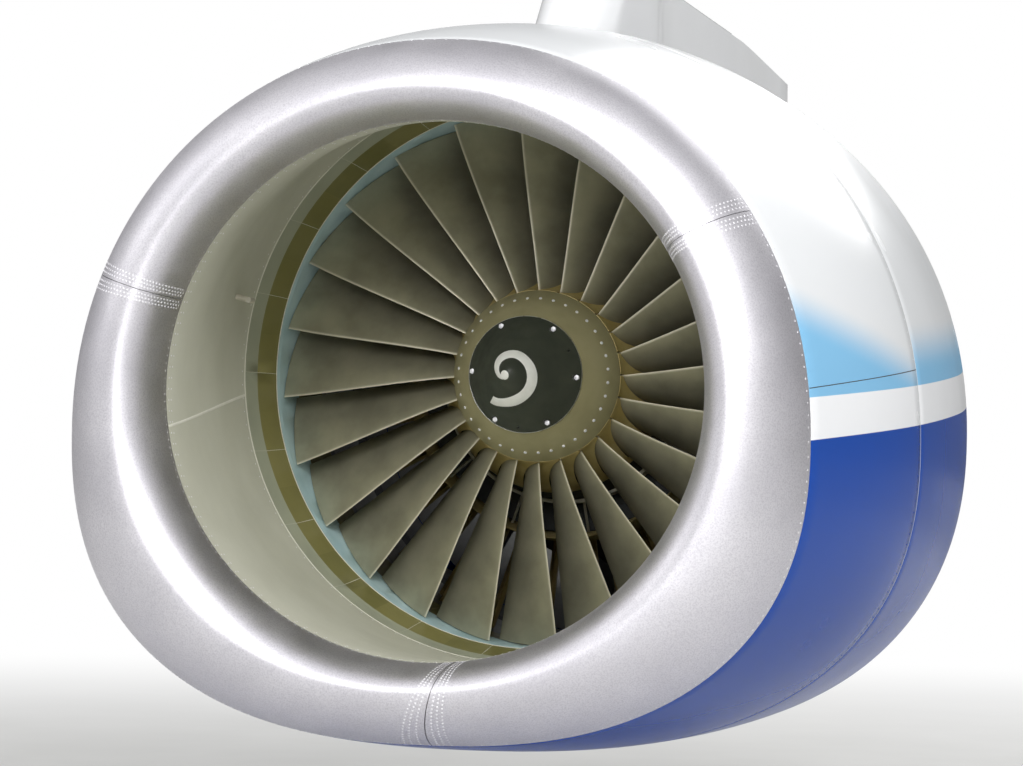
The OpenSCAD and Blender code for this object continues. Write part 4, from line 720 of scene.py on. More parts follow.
@dataclass(frozen=True)
class NacelleForm:
    """Sizes and sections of the nacelle, in millimetres from the blade tips."""

    lip_y: float = -1165.0
    joint_y: float = -995.0
    cowl_front_y: float = -278.0
    cowl_rear_y: float = 700.0
    exit_y: float = 2350.0
    exit_r: float = 750.0
    widest_y: float = 300.0
    throat: tuple[float, float] = (722.0, 694.0)
    inlet_r: float = 805.0
    case_front_y: float = -235.0
    toe: float = 20.0
    droop: float = 71.0

    def fore(self, y: Values) -> Values:
        """How far the section has drawn in ahead of the widest station."""
        return np.maximum(0.0, (self.widest_y - y) / (self.widest_y - self.joint_y)) ** 2.2

    def aft(self, y: Values, power: float) -> Values:
        """How far the section has drawn in behind the widest station."""
        return np.maximum(0.0, (y - self.widest_y) / (self.exit_y - self.widest_y)) ** power

    def half_w(self, y: Values) -> Values:
        """Half width at a station."""
        return 1168.0 - 183.0 * self.fore(y) - 418.0 * self.aft(y, 1.6)

    def crown(self, y: Values) -> Values:
        """Crown height at a station."""
        return 1000.0 - 168.0 * self.fore(y) - 250.0 * self.aft(y, 2.2)

    def keel(self, y: Values) -> Values:
        """Keel depth at a station."""
        return 1056.0 - 80.0 * self.fore(y) - 306.0 * self.aft(y, 1.6)

    def waist(self, y: Values) -> Values:
        """Drop of the widest line at a station."""
        return 185.0 * (1.0 - self.aft(y, 1.0))

    def low_power(self, y: Values) -> Values:
        """Power of the lower half's superellipse."""
        return mix(2.4, 2.0, np.clip(self.aft(y, 1.0), 0.0, 1.0))

    def shift(self, y: Values) -> Values:
        """Inboard shift of the section."""
        share = (self.cowl_front_y - y) / (self.cowl_front_y - self.joint_y)
        return -self.toe * ease(np.clip(share, 0.0, 1.0))

    def skin(self, y: Values, t: Values, inset: float = 0.0) -> np.ndarray:
        """Points of the outer skin at stations y and section angles t in degrees."""
        y, t = np.broadcast_arrays(np.asarray(y, float), np.radians(np.asarray(t, float)))
        up = np.sin(t) >= 0
        power = np.where(up, 2.06, self.low_power(y))
        height = np.where(up, self.crown(y) + self.waist(y), self.keel(y) - self.waist(y))
        return stack(self.shift(y) + (self.half_w(y) - inset) * spow(np.cos(t), 2.0 / power), y,
                     -self.waist(y) + (height - inset) * spow(np.sin(t), 2.0 / power))

    def skin_normal(self, y: float, t: float) -> np.ndarray:
        """Outward normal of the skin at one point."""
        a, b = self.skin(y, t - 0.2), self.skin(y, t + 0.2)
        c, d = self.skin(y - 2.0, t), self.skin(y + 2.0, t)
        n = np.cross(d - c, b - a)
        n /= np.linalg.norm(n)
        return n if n @ (self.skin(y, t) - np.array((0.0, y, 0.0))) > 0 else -n

    def top_t(self, y: Values, x: float, inset: float = 0.0) -> Values:
        """Section angle at which the upper skin reaches a given X."""
        return np.degrees(np.arccos((x / (self.half_w(y) - inset)) ** 1.03))

    def keel_t(self, y: Values, x: float, inset: float = 0.0) -> Values:
        """Section angle at which the lower skin reaches a given X."""
        return -np.degrees(np.arccos((x / (self.half_w(y) - inset)) ** (self.low_power(y) / 2.0)))

    def duct(self, y: Values, t: Values, out: float = 0.0) -> np.ndarray:
        """Points of the inlet duct's wall at stations y and section angles t in degrees."""
        y, t = np.broadcast_arrays(np.asarray(y, float), np.radians(np.asarray(t, float)))
        u = ease(np.clip((y - self.joint_y) / (self.case_front_y - self.joint_y), 0.0, 1.0))
        return stack(mix(-self.toe, 0.0, u) + (mix(self.throat[0], self.inlet_r, u) + out) * np.cos(t), y,
                     mix(-self.droop, 0.0, u) + (mix(self.throat[1], self.inlet_r, u) + out) * np.sin(t))

    def lip_line(self, t: float, t_in: float, depth: float, steps: int = 20) -> np.ndarray:
        """One section of the lip, from its outer edge round the nose into the throat.

        Args:
            t: section angle of its outer end in degrees.
            t_in: section angle of its inner end in degrees.
            depth: how far below the surface the line runs.
            steps: points on each side of the nose.

        Returns:
            The points of the line.
        """
        outer, inner = self.skin(self.joint_y, t), self.duct(self.joint_y, t_in)
        d = np.linalg.norm(outer - inner)
        e = (outer - inner) / d
        nose = 0.33 * d
        sweep = math.radians(65.0)
        reach = (d - nose) / math.sin(sweep)
        long_out = (self.joint_y - self.lip_y) / (1.0 - math.cos(sweep))
        long_in = self.joint_y - self.lip_y
        a = sweep * np.arange(steps, -1, -1) / steps
        b = math.pi / 2.0 * np.arange(1, steps + 1) / steps
        f = np.concatenate([nose + (reach - depth) * np.sin(a), nose - (nose - depth) * np.sin(b)])
        y = np.concatenate([self.lip_y + long_out - (long_out - depth) * np.cos(a),
                            self.lip_y + long_in - (long_in - depth) * np.cos(b)])
        return stack(inner[0] + e[0] * f, np.minimum(y, self.joint_y), inner[2] + e[2] * f)


FORM = NacelleForm()


# ---------------------------------------------------------------- inlet


@dataclass
class InletLip:
    """The bare metal lip in three segments, with its splices and rivets."""

    skin_mm: float = 4.0
    # Each splice leans, so its outer and its inner end lie at different clock angles.
    splices: tuple[tuple[float, float], ...] = ((56.6, 60.1), (179.5, 173.3), (293.5, 289.6))
    joint_mm: float = 1.6
    mean_r: float = 900.0
    rivet_mm: float = 2.6
    # Rivet rows beside a splice: distance in millimetres, number in a row and the first and last share.
    rows_mm: tuple[float, ...] = (-33.0, -22.0, -11.0, 11.0, 22.0, 33.0)
    staggered_mm: float = 22.0
    row_n: int = 34
    row_span: tuple[float, float] = (0.02, 0.985)
    # Rivet rows along the lip's two edges: shares of the section, number round the lip, clear angle.
    edge_shares: tuple[float, float] = (0.018, 0.978)
    edge_n: float = 220.0
    edge_clear: float = 2.6

    def spans(self) -> list[tuple[str, np.ndarray, np.ndarray]]:
        """Name, first splice and last splice of each segment."""
        ends = [np.array(splice) for splice in self.splices]
        return [("upper", ends[2] - 360.0, ends[0]), ("outboard", ends[0], ends[1]),
                ("inboard", ends[1], ends[2])]

    def segment(self, name: str, start: np.ndarray, end: np.ndarray) -> bpy.types.Object:
        """Lofts one segment between two splices."""
        trim = math.degrees(self.joint_mm / 2.0 / self.mean_r)
        steps = int(round((end[0] - start[0]) / 2.0))
        loops = []
        for k in range(steps + 1):
            t, t_in = 90.0 - mix(start + trim, end - trim, k / steps)
            outer = FORM.lip_line(t, t_in, 0.0)
            inner = FORM.lip_line(t, t_in, self.skin_mm)
            outer[0, 1] = outer[-1, 1] = FORM.joint_y - self.joint_mm / 2.0
            loops.append(np.concatenate([outer, inner[::-1]]))
        return loft(name, np.array(loops), capped=True)

    @staticmethod
    def along(t: float, t_in: float, share: float) -> Matrix:
        """A place on the lip's surface at a section's angles and a share of its line."""
        lines = [FORM.lip_line(t + d, t_in + d, 0.0) for d in (-0.15, 0.0, 0.15)]
        k = share * (len(lines[1]) - 1)
        i = min(int(k), len(lines[1]) - 2)
        p = [mix(line[i], line[i + 1], k - i) for line in lines]
        n = np.cross(lines[1][i + 1] - lines[1][i], p[2] - p[0])
        n /= np.linalg.norm(n)
        hub = np.array((p[1][0], FORM.joint_y + 60.0, p[1][2]))
        return stand(p[1], n if n @ (p[1] - hub) > 0 else -n)

    def rivets(self) -> bpy.types.Object:
        """Sets the three staggered rows on each side of a splice and the rows along the lip's edges."""
        spots = []
        for outer, inner in self.splices:
            for off in self.rows_mm:
                turn = math.degrees(off / self.mean_r)
                step = 0.5 if abs(off) == self.staggered_mm else 0.0
                for k in range(self.row_n):
                    share = mix(*self.row_span, (k + step) / self.row_n)
                    spots.append(self.along(90.0 - outer - turn, 90.0 - inner - turn, share))
        for _, start, end in self.spans():
            wide = end[0] - start[0]
            count = int(round(wide * self.edge_n / 360.0))
            for k in range(count):
                u = (k + 0.5) / count
                if self.edge_clear < u * wide < wide - self.edge_clear:
                    t, t_in = 90.0 - mix(start, end, u)
                    spots += [self.along(t, t_in, share) for share in self.edge_shares]
        return scattered("lip_rivets", rivet_seed(self.rivet_mm, 0.8), spots)

    def build(self) -> None:
        """Builds and dresses the lip."""
        for word, start, end in self.spans():
            dress(self.segment(f"lip_skin_{word}", start, end), LIP_METAL, "engine", f"inlet_lip_{word}",
                  slot="metal_lip")
        dress(self.rivets(), RIVET_BRIGHT, "engine", slot="metal_lip")


@dataclass
class InletBarrels:
    """The painted outer barrel, the acoustic inner barrel and what shows on them."""

    steps: int = 180
    skin_mm: float = 8.0
    wall_mm: float = 25.0
    gap_mm: float = 1.5
    # Clock angles of the liner's splices at the duct's front and rear, and half the sealant's width.
    liner_splices: tuple[tuple[float, float], ...] = ((257.0, 265.2), (103.0, 94.8), (0.0, 0.0))
    sealant_half_mm: float = 4.4
    duct_r: float = 770.0
    barrel_fastener_n: int = 200
    # The outer skin's splices: stations and heights of their two ends.
    splice_ys: tuple[float, float] = (-978.0, -289.0)
    splice_zs: tuple[float, float] = (-56.0, 14.0)

    def ring(self, name: str, outside: Callable[[np.ndarray, float], np.ndarray],
             inside: Callable[[np.ndarray, float], np.ndarray], ys: np.ndarray) -> bpy.types.Object:
        """Lofts a closed ring between two skins."""
        loops = [np.concatenate([outside(ys, t), inside(ys[::-1], t)])
                 for t in 90.0 - 360.0 * np.arange(self.steps) / self.steps]
        return loft(name, np.array(loops), ring_rows=True)

    def outer(self) -> bpy.types.Object:
        """The painted skin ahead of the fan cowls."""
        ys = np.linspace(FORM.joint_y + self.gap_mm / 2.0, FORM.cowl_front_y - self.gap_mm / 2.0, 15)
        ring = self.ring("outer_barrel_skin", lambda y, t: FORM.skin(y, t),
                         lambda y, t: FORM.skin(y, t, self.skin_mm), ys)
        return rounded(ring, 0.8, 60.0)

    def inner(self) -> bpy.types.Object:
        """The acoustic wall of the duct."""
        ys = np.linspace(FORM.joint_y + self.gap_mm / 2.0, FORM.case_front_y - 1.0, 19)
        return self.ring("inner_barrel_liner", lambda y, t: FORM.duct(y, t),
                         lambda y, t: FORM.duct(y, t, self.wall_mm), ys)

    def duct_rows(self) -> bpy.types.Object:
        """Flush fasteners round both ends of the liner."""
        spots = []
        rows = ((FORM.joint_y + 16.0, 150), (FORM.joint_y + 34.0, 150), (FORM.case_front_y - 22.0, 132))
        for y, count in rows:
            for k in range(count):
                t = 360.0 * k / count
                p = FORM.duct(y, t)
                inward = np.array((-p[0], 0.0, -p[2]))
                spots.append(stand(p, inward / np.linalg.norm(inward)))
        return scattered("duct_fasteners", rivet_seed(2.4, 0.7), spots)

    @staticmethod
    def own_clock(y: float, clock: float) -> float:
        """The duct line's own angle at a true clock angle, because the duct isn't quite round."""
        table = clock + np.linspace(-14.0, 14.0, 57)
        line = FORM.duct(y, 90.0 - table)
        off = (np.degrees(np.arctan2(line[:, 0], line[:, 2])) - clock + 180.0) % 360.0 - 180.0
        return float(np.interp(0.0, off, table))

    def sealant(self) -> bpy.types.Object:
        """Wiped strips over the liner's lengthwise splices."""
        parts = []
        for number, (fore, aft) in enumerate(self.liner_splices):
            ys = np.linspace(FORM.joint_y + 4.0, FORM.case_front_y - 4.0, 30)
            rows = []
            for y, clock in zip(ys, np.linspace(fore, aft, 30)):
                clock = self.own_clock(y, clock)
                half = math.degrees(self.sealant_half_mm / self.duct_r)
                low = [FORM.duct(y, 90.0 - clock + a, 0.2) for a in (-half, half)]
                high = [FORM.duct(y, 90.0 - clock + a, -0.7) for a in (half * 0.6, -half * 0.6)]
                rows.append(np.array(low + high))
            parts.append(loft(f"seal_{number}", np.array(rows), capped=True))
        return joined("liner_splice_sealant", parts)

    def barrel_rows(self) -> bpy.types.Object:
        """Small fasteners along the outer barrel's two edges."""
        spots = []
        for y in (FORM.joint_y + 14.0, FORM.cowl_front_y - 14.0):
            for k in range(self.barrel_fastener_n):
                t = 360.0 * k / self.barrel_fastener_n
                spots.append(stand(FORM.skin(y, t), FORM.skin_normal(y, t)))
        return scattered("outer_barrel_fasteners", rivet_seed(2.0, 0.4), spots)

    def seam_bead(self) -> bpy.types.Object:
        """The pale bead in the seam between the barrel and the fan cowls."""
        ys = np.array((FORM.cowl_front_y - 0.9, FORM.cowl_front_y + 2.6))
        return self.ring("cowl_seam_bead", lambda y, t: FORM.skin(y, t, 0.3),
                         lambda y, t: FORM.skin(y, t, 5.0), ys)

    def splices(self) -> bpy.types.Object:
        """The lengthwise splices of the outer skin, one on each side above the stripe."""
        table = np.linspace(-20.0, 60.0, 801)
        parts = []
        for mirrored in (1.0, -1.0):
            rows = []
            for y in np.linspace(FORM.joint_y + 3.0, FORM.cowl_front_y - 3.0, 40):
                z = mix(*self.splice_zs, (y - self.splice_ys[0]) / (self.splice_ys[1] - self.splice_ys[0]))
                heights = FORM.skin(y, table)[:, 2]
                angles = [float(np.interp(z + h, heights, table)) for h in (-1.3, -0.9, 0.9, 1.3)]
                insets = (0.3, -0.25, -0.25, 0.3)
                rows.append(np.array([FORM.skin(y, a if mirrored > 0 else 180.0 - a, i)
                                      for a, i in zip(angles, insets)]))
            parts.append(loft("splice", np.array(rows), capped=True))
        return joined("outer_skin_splices", parts)

    def build(self) -> None:
        """Builds and dresses both barrels."""
        dress(self.outer(), LIVERY, "engine", "inlet_outer_barrel", slot="white_paint")
        dress(self.inner(), LINER_GREEN, "engine", "inlet_inner_barrel", slot="duct_green")
        dress(self.duct_rows(), RIVET_BRIGHT, "engine", slot="duct_green")
        dress(self.sealant(), SEALANT, "engine", slot="duct_green")
        dress(self.barrel_rows(), LIVERY, "engine", slot="white_paint")
        dress(self.seam_bead(), SEALANT_PALE, "engine", slot="white_paint")
        dress(self.splices(), RUBBER, "engine", slot="white_paint")


# ---------------------------------------------------------------- fan


@dataclass
class FanRotor:
    """Wide-chord blades on dovetails, with the platforms between them."""

    blade_n: int = 24
    tip_r: float = 771.0
    root_r: float = 236.0
    chord_root: float = 190.0
    chord_tip: float = 232.0
    stagger_root: float = 20.0
    stagger_tip: float = 61.0
    thick_root: float = 19.0
    thick_tip: float = 6.0
    lean_deg: float = 4.0
    tip_clock: float = 10.0
    disk_ys: tuple[float, float] = (-10.0, 175.0)
    # Radius and width of the dovetail's foot and of its neck.
    foot: tuple[float, float] = (192.0, 32.0)
    neck: tuple[float, float] = (227.0, 22.0)
    around: int = 18
    # Platforms: radii and stations of their upper face, their own stations, depth and side gap.
    hub_rs: tuple[float, float] = (246.0, 334.0)
    hub_ys: tuple[float, float] = (-16.0, 205.0)
    platform_ys: tuple[float, float] = (-16.0, 198.0)
    platform_mm: float = 8.0
    gap_mm: float = 3.0

    def point(self, u: Values, s: float, side: float) -> tuple[Values, float, Values]:
        """Angle in degrees, radius and station of a point of the first blade.

        Args:
            u: share of the chord from the leading edge.
            s: share of the span.
            side: 1 for the suction side, -1 for the pressure side, 0 for the camber line.

        Returns:
            Angle, radius and station.
        """
        chord = mix(self.chord_root, self.chord_tip, s ** 1.4)
        g = np.radians(mix(self.stagger_root, self.stagger_tip, s ** 0.85))
        half = mix(self.thick_root, self.thick_tip, s ** 0.8) / 2.0 * np.sin(math.pi * u ** 0.8) ** 0.7
        h = 4.0 * mix(0.085, 0.015, s) * chord * u * (1.0 - u) + side * half
        r = mix(self.root_r, self.tip_r, s)
        across = chord * u * np.sin(g) + h * np.cos(g)
        y = 8.0 * (1.0 - s) - 60.0 * s * (1.0 - s) + chord * u * np.cos(g) - h * np.sin(g)
        return self.lean_deg * (1.0 - s) ** 2 + np.degrees(across / r), r, y

    def shares(self) -> np.ndarray:
        """Chord shares, closer together at both edges."""
        k = np.linspace(0.0, math.pi, self.around + 1)
        return (1.0 - np.cos(k)) / 2.0

    def section(self, s: float) -> np.ndarray:
        """One closed airfoil section, from the leading edge round the suction side."""
        us = self.shares()
        sides = [(us, 1.0), (us[-2:0:-1], -1.0)]
        pts = []
        for share, side in sides:
            a, r, y = self.point(share, s, side)
            a = np.radians(a)
            pts.append(stack(r * np.sin(a), y, r * np.cos(a)))
        return np.concatenate(pts)

    def dovetail(self, r: float, width: float) -> np.ndarray:
        """One closed section of the root, with as many points as an airfoil section."""
        us = self.shares()
        c = math.radians(self.root_clock())
        x = np.concatenate([np.full(len(us), width / 2.0), np.full(len(us) - 2, -width / 2.0)])
        y = mix(self.disk_ys[0], self.disk_ys[1], np.concatenate([us, us[-2:0:-1]]))
        return stack(r * math.sin(c) + x * math.cos(c), y, r * math.cos(c) - x * math.sin(c))

    def root_clock(self) -> float:
        """Angle from a blade's leading tip to the middle of its dovetail."""
        across = self.chord_root / 2.0 * math.sin(math.radians(self.stagger_root))
        return self.lean_deg + math.degrees(across / self.root_r)

    def round_hub(self, name: str, first: bpy.types.Object) -> bpy.types.Object:
        """Copies the first blade or platform round the hub, as one object, and removes it."""
        parts = []
        for k in range(self.blade_n):
            copy = first.copy()
            copy.data = first.data.copy()
            bpy.context.scene.collection.objects.link(copy)
            flat = np.empty(len(copy.data.vertices) * 3)
            copy.data.vertices.foreach_get("co", flat)
            clock = self.tip_clock + k * 360.0 / self.blade_n
            points = at_clock(flat.reshape(-1, 3) * 1000.0 - OFFSET_MM, clock)
            copy.data.vertices.foreach_set("co", ((points + OFFSET_MM) / 1000.0).ravel())
            parts.append(copy)
        bpy.data.objects.remove(first, do_unlink=True)
        return joined(name, parts)

    def blades(self) -> bpy.types.Object:
        """Lofts one blade, then copies it round the hub."""
        loops = [self.dovetail(*self.foot), self.dovetail(*self.neck)]
        loops += [self.section(s) for s in np.linspace(0.0, 1.0, 25)]
        return self.round_hub("fan_blade_set", loft("blade_seed", np.array(loops), capped=True))

    def hub_r(self, y: Values) -> Values:
        """Radius of the platforms' upper face at a station."""
        share = (y - self.hub_ys[0]) / (self.hub_ys[1] - self.hub_ys[0])
        return mix(*self.hub_rs, ease(np.clip(share, 0.0, 1.0)))

    def flank(self, y: float, r: float, side: float) -> float:
        """Clock angle of the first blade's flank at a radius and station."""
        s = max(0.001, (r - self.root_r) / (self.tip_r - self.root_r))
        a, _, ys = self.point(np.linspace(0.0, 1.0, 60), s, side)
        return float(np.interp(y, ys, a))

    def platforms(self) -> bpy.types.Object:
        """Lofts one platform between two blades, then copies it."""
        loops = []
        for y in np.linspace(*self.platform_ys, 22):
            r = float(self.hub_r(y))
            gap = math.degrees(self.gap_mm / r)
            row = []
            for depth, order in ((0.0, 1), (self.platform_mm, -1)):
                a = self.flank(y, r - depth, 1.0) + gap
                b = 360.0 / self.blade_n + self.flank(y, r - depth, -1.0) - gap
                shares = np.linspace(0.0, 1.0, 9)[::order]
                angle = np.radians(mix(a, b, shares))
                row.append(stack((r - depth) * np.sin(angle), y, (r - depth) * np.cos(angle)))
            loops.append(np.concatenate(row))
        return self.round_hub("blade_platform_set", loft("platform_seed", np.array(loops), capped=True))

    def build(self) -> None:
        """Builds and dresses the rotor."""
        body = "low_pressure_spool"
        dress(self.blades(), BLADE, body, "fan_blades", angle=50.0, slot="blade_titanium")
        dress(self.platforms(), PLATFORM, body, "blade_platforms", slot="golden_platform")


@dataclass
class Spinner:
    """The two cones, the painted spiral and the bolt rings."""

    tip_y: float = -332.0
    joint_y: float = -140.0
    joint_r: float = 165.0
    wall: float = 7.0
    bolt_n: int = 6
    bolt_clock: float = 33.0
    # The counterbores: inset from the joint's edge, radius, and stations of their mouth and floor.
    bore_inset: float = 13.0
    bore_r: float = 9.0
    bore_ys: tuple[float, float] = (-39.0, -9.0)
    balance_r: float = 3.6
    balance_floor: float = -12.0
    small_bolt_n: int = 36
    # The rear cone's flare: stations and radii of its start, bend and edge, and where the bolts sit.
    flare_ys: tuple[float, float, float] = (-139.0, -82.0, -25.0)
    flare_rs: tuple[float, float, float] = (165.0, 205.0, 244.0)
    small_bolt_share: float = 0.69
    # The blob that the stroke starts from: clock angle and distance of its middle, and its radius.
    blob_clock: float = 233.0
    blob_out: float = 13.0
    blob_r: float = 13.0
    # How far the painted film stands proud.
    film: float = 0.5
    # Clock angle and radius of the two holes for balance screws.
    balance_holes: tuple[tuple[float, float], ...] = ((63.0, 148.0), (185.0, 151.0))
    # Clock angle, radius and half width of the painted stroke, from the tip outwards.
    stroke: tuple[tuple[float, float, float], ...] = (
        (222.0, 21.0, 5.0), (250.0, 31.0, 7.5), (268.0, 36.0, 9.0), (292.0, 46.0, 12.0),
        (315.0, 52.0, 13.0), (343.0, 52.0, 12.0), (371.0, 52.0, 11.0), (409.0, 51.0, 10.5),
        (447.0, 55.0, 11.5), (481.0, 61.0, 12.0), (514.0, 68.0, 12.0), (542.0, 77.0, 13.5),
        (566.0, 90.0, 12.0), (586.0, 108.0, 13.0))

    def front_profile(self) -> list[tuple[float, float]]:
        """Outer line of the front cone, rounded at its tip, as radius and station."""
        rs = np.array((0.0, 10.0, 22.0, self.joint_r * 0.55, self.joint_r))
        ys = np.array((self.tip_y, self.tip_y + 3.0, self.tip_y + 12.0, mix(self.tip_y, self.joint_y, 0.49),
                       self.joint_y - 4.0))
        out = [(0.0, self.tip_y)]
        for r in (5.0, 10.0, 16.0, 22.0, 35.0, 50.0, 70.0, 90.0, 110.0, 130.0, 150.0, 163.0, 165.0):
            out.append((r, float(np.interp(r, rs, ys))))
        return out

    def height_at(self, r: float) -> float:
        """Station of the front cone's surface at a radius."""
        line = self.front_profile()
        return float(np.interp(r, [p[0] for p in line], [p[1] for p in line]))

    def bolt_spots(self) -> list[np.ndarray]:
        """Places of the bolts round the axis, at the station of the blade tips."""
        return [at_clock(np.array((0.0, 0.0, self.joint_r - self.bore_inset)),
                         k * 360.0 / self.bolt_n + self.bolt_clock) for k in range(self.bolt_n)]

    def front_cone(self) -> bpy.types.Object:
        """The dark cone, with the counterbores for its bolts."""
        jr, jy, ty, w = self.joint_r, self.joint_y, self.tip_y, self.wall
        inner = [(jr, jy), (jr - 22.0, jy), (jr - 22.0, jy - 6.0), (jr * 0.55 - w, mix(ty, jy, 0.49) + w),
                 (20.0 - w, ty + 14.0 + w), (0.0, ty + w + 6.0)]
        cone = turned("spinner_cone_front", self.front_profile() + inner, 144)
        mouth, floor = (np.array((0.0, jy + y, 0.0)) for y in self.bore_ys)
        for spot in self.bolt_spots():
            cut(cone, rod("cutter", spot + mouth, spot + floor, self.bore_r, 32, 0.0))
        floor = np.array((0.0, jy + self.balance_floor, 0.0))
        for clock, r in self.balance_holes:
            spot = at_clock(np.array((0.0, 0.0, r)), clock)
            cut(cone, rod("cutter", spot + mouth, spot + floor, self.balance_r, 24, 0.0))
        return cone

    def rear_cone(self) -> bpy.types.Object:
        """The olive cone that carries the front one."""
        jr, jy, w = self.joint_r, self.joint_y + 0.3, self.wall
        return turned("spinner_cone_rear", [
            (jr - 22.0, jy), (jr - 1.0, jy), (jr, jy + 1.0), (205.0, -82.0), (244.0, -25.0), (245.0, -17.0),
            (232.0, -17.0), (208.0, -10.3), (184.0, -10.3), (184.0, -22.0), (206.0, -31.0),
            (jr - 2.0, jy + w + 8.0), (jr - 22.0, jy + w)], 144)

    def rim(self) -> bpy.types.Object:
        """The bright edge band at the joint of the cones."""
        jr, jy = self.joint_r, self.joint_y
        return turned("spinner_edge_band", [(jr - 1.6, jy - 4.6), (jr - 0.4, jy - 5.0), (jr + 0.6, jy - 4.2),
                                            (jr + 0.6, jy - 0.8), (jr - 1.6, jy - 0.8)], 144)

    def spiral(self) -> bpy.types.Object:
        """The white stroke that shows whether the fan turns, with the blob that it starts from."""
        given = np.array(self.stroke)
        clocks = np.linspace(given[0, 0], given[-1, 0], 121)
        window = np.ones(9) / 9.0
        mids, halves = (np.convolve(np.pad(np.interp(clocks, given[:, 0], given[:, k]), 4, mode="edge"),
                                    window, mode="valid") for k in (1, 2))
        film = -self.film
        rows = []
        for clock, mid, half in zip(clocks, mids, halves):
            row = [at_clock(np.array((0.0, self.height_at(r) + lift, r)), clock)
                   for r, lift in ((mid - half, 0.1), (mid - half + 1.0, film), (mid, film),
                                   (mid + half - 1.0, film), (mid + half, 0.1), (mid, 0.4))]
            rows.append(np.array(row))
        stroke = loft("stroke", np.array(rows), capped=True)
        middle = at_clock(np.array((0.0, 0.0, self.blob_out)), self.blob_clock)
        turn = np.radians(np.arange(0.0, 360.0, 9.0))
        # The blob's film lies a trace higher than the stroke's, so the two never share a face.
        film, r = -self.film - 0.05, self.blob_r
        rows = []
        for radius, lift in ((r, 0.6), (r, -0.1), (r - 1.0, film), (8.0, film), (4.0, film), (0.3, film)):
            x, z = middle[0] + radius * np.cos(turn), middle[2] + radius * np.sin(turn)
            rows.append(stack(x, np.array([self.height_at(r) for r in np.hypot(x, z)]) + lift, z))
        blob = loft("blob", np.array(rows), capped=True)
        return joined("spinner_spiral_mark", [stroke, blob])

    def bolts(self) -> bpy.types.Object:
        """Hexagon-headed bolts in the counterbores."""
        parts = []
        seat = self.joint_y + self.bore_ys[1]
        for spot in self.bolt_spots():
            head = rod("head", spot + (0.0, seat - 8.3, 0.0), spot + (0.0, seat - 0.3, 0.0), 8.0, 6, 0.8)
            shank = rod("shank", spot + (0.0, seat - 1.0, 0.0), spot + (0.0, seat + 21.0, 0.0), 4.9, 24, 0.4)
            parts += [head, shank]
        return joined("spinner_bolt_set", parts)

    def small_bolts(self) -> bpy.types.Object:
        """The ring of small bolts near the rear cone's aft edge."""
        slope = np.array((0.0, -44.0, 57.0))
        slope /= np.linalg.norm(slope)
        spots = []
        point = np.array((0.0, *(np.interp(self.small_bolt_share, (0.0, 0.5, 1.0), line)
                                 for line in (self.flare_ys, self.flare_rs))))
        for k in range(self.small_bolt_n):
            turn = (k + 0.5) * 360.0 / self.small_bolt_n
            spots.append(stand(at_clock(point, turn), at_clock(slope, turn)))
        return scattered("rear_cone_bolts", rivet_seed(4.6, 3.4, 16), spots)

    def build(self) -> None:
        """Builds and dresses the spinner."""
        body = "low_pressure_spool"
        dress(self.front_cone(), CONE_DARK, body, "spinner_front_cone", slot="dark_cone")
        dress(self.rear_cone(), CONE_OLIVE, body, "spinner_rear_cone", slot="olive_liner")
        dress(self.rim(), FASTENER, body, slot="steel")
        dress(self.spiral(), MARK_WHITE, body, slot="white_paint")
        dress(self.bolts(), RIVET_BRIGHT, body, "spinner_bolts", slot="steel")
        dress(self.small_bolts(), RIVET_BRIGHT, body, slot="steel")


@dataclass
class FanCaseLiners:
    """What shows of the fan case: olive panels, pale joints and the rub strip."""

    panel_n: int = 22
    # Radius and station of the panels' inner faces, front to rear.
    line: tuple[tuple[float, float], ...] = ((805.0, -233.4), (798.0, -150.0), (777.0, -46.2))

    def fillets(self, name: str, row: int) -> bpy.types.Object:
        """Fillets of sealant between the panels, along one of the two parts of their faces."""
        parts = []
        for k in range(self.panel_n):
            rows = [np.array([(x, y, r + h) for x, h in ((-1.7, 0.1), (1.7, 0.1), (1.7, 5.0), (-1.7, 5.0))])
                    for r, y in self.line[row:row + 2]]
            clock = (k - 5.5) * 360.0 / self.panel_n
            parts.append(loft(f"fillet_{k}", at_clock(np.array(rows), clock), capped=True))
        return joined(name, parts)

    def edge_bands(self) -> bpy.types.Object:
        """The pale rings of sealant at both ends of the panels."""
        return joined("panel_edge_bands", [
            turned("front", [(804.2, -238.6), (804.2, -232.4), (807.0, -232.4), (807.0, -238.6)], 192),
            turned("rear", [(776.2, -47.4), (775.8, -43.8), (780.0, -43.8), (780.0, -47.4)], 192)])

    def build(self) -> None:
        """Builds and dresses the liners."""
        refined_copy("acoustic_panels", PANEL_OLIVE, "engine", slot="olive_liner")
        refined_copy("abradable_shroud", RUB_STRIP, "engine", slot="pale_blue_liner")
        dress(self.fillets("panel_fillets_fore", 0), LINER_GREEN, "engine", slot="olive_liner")
        dress(self.fillets("panel_fillets_aft", 1), SEALANT, "engine", slot="olive_liner")
        dress(self.edge_bands(), SEALANT, "engine", slot="olive_liner")


# ---------------------------------------------------------------- cowls


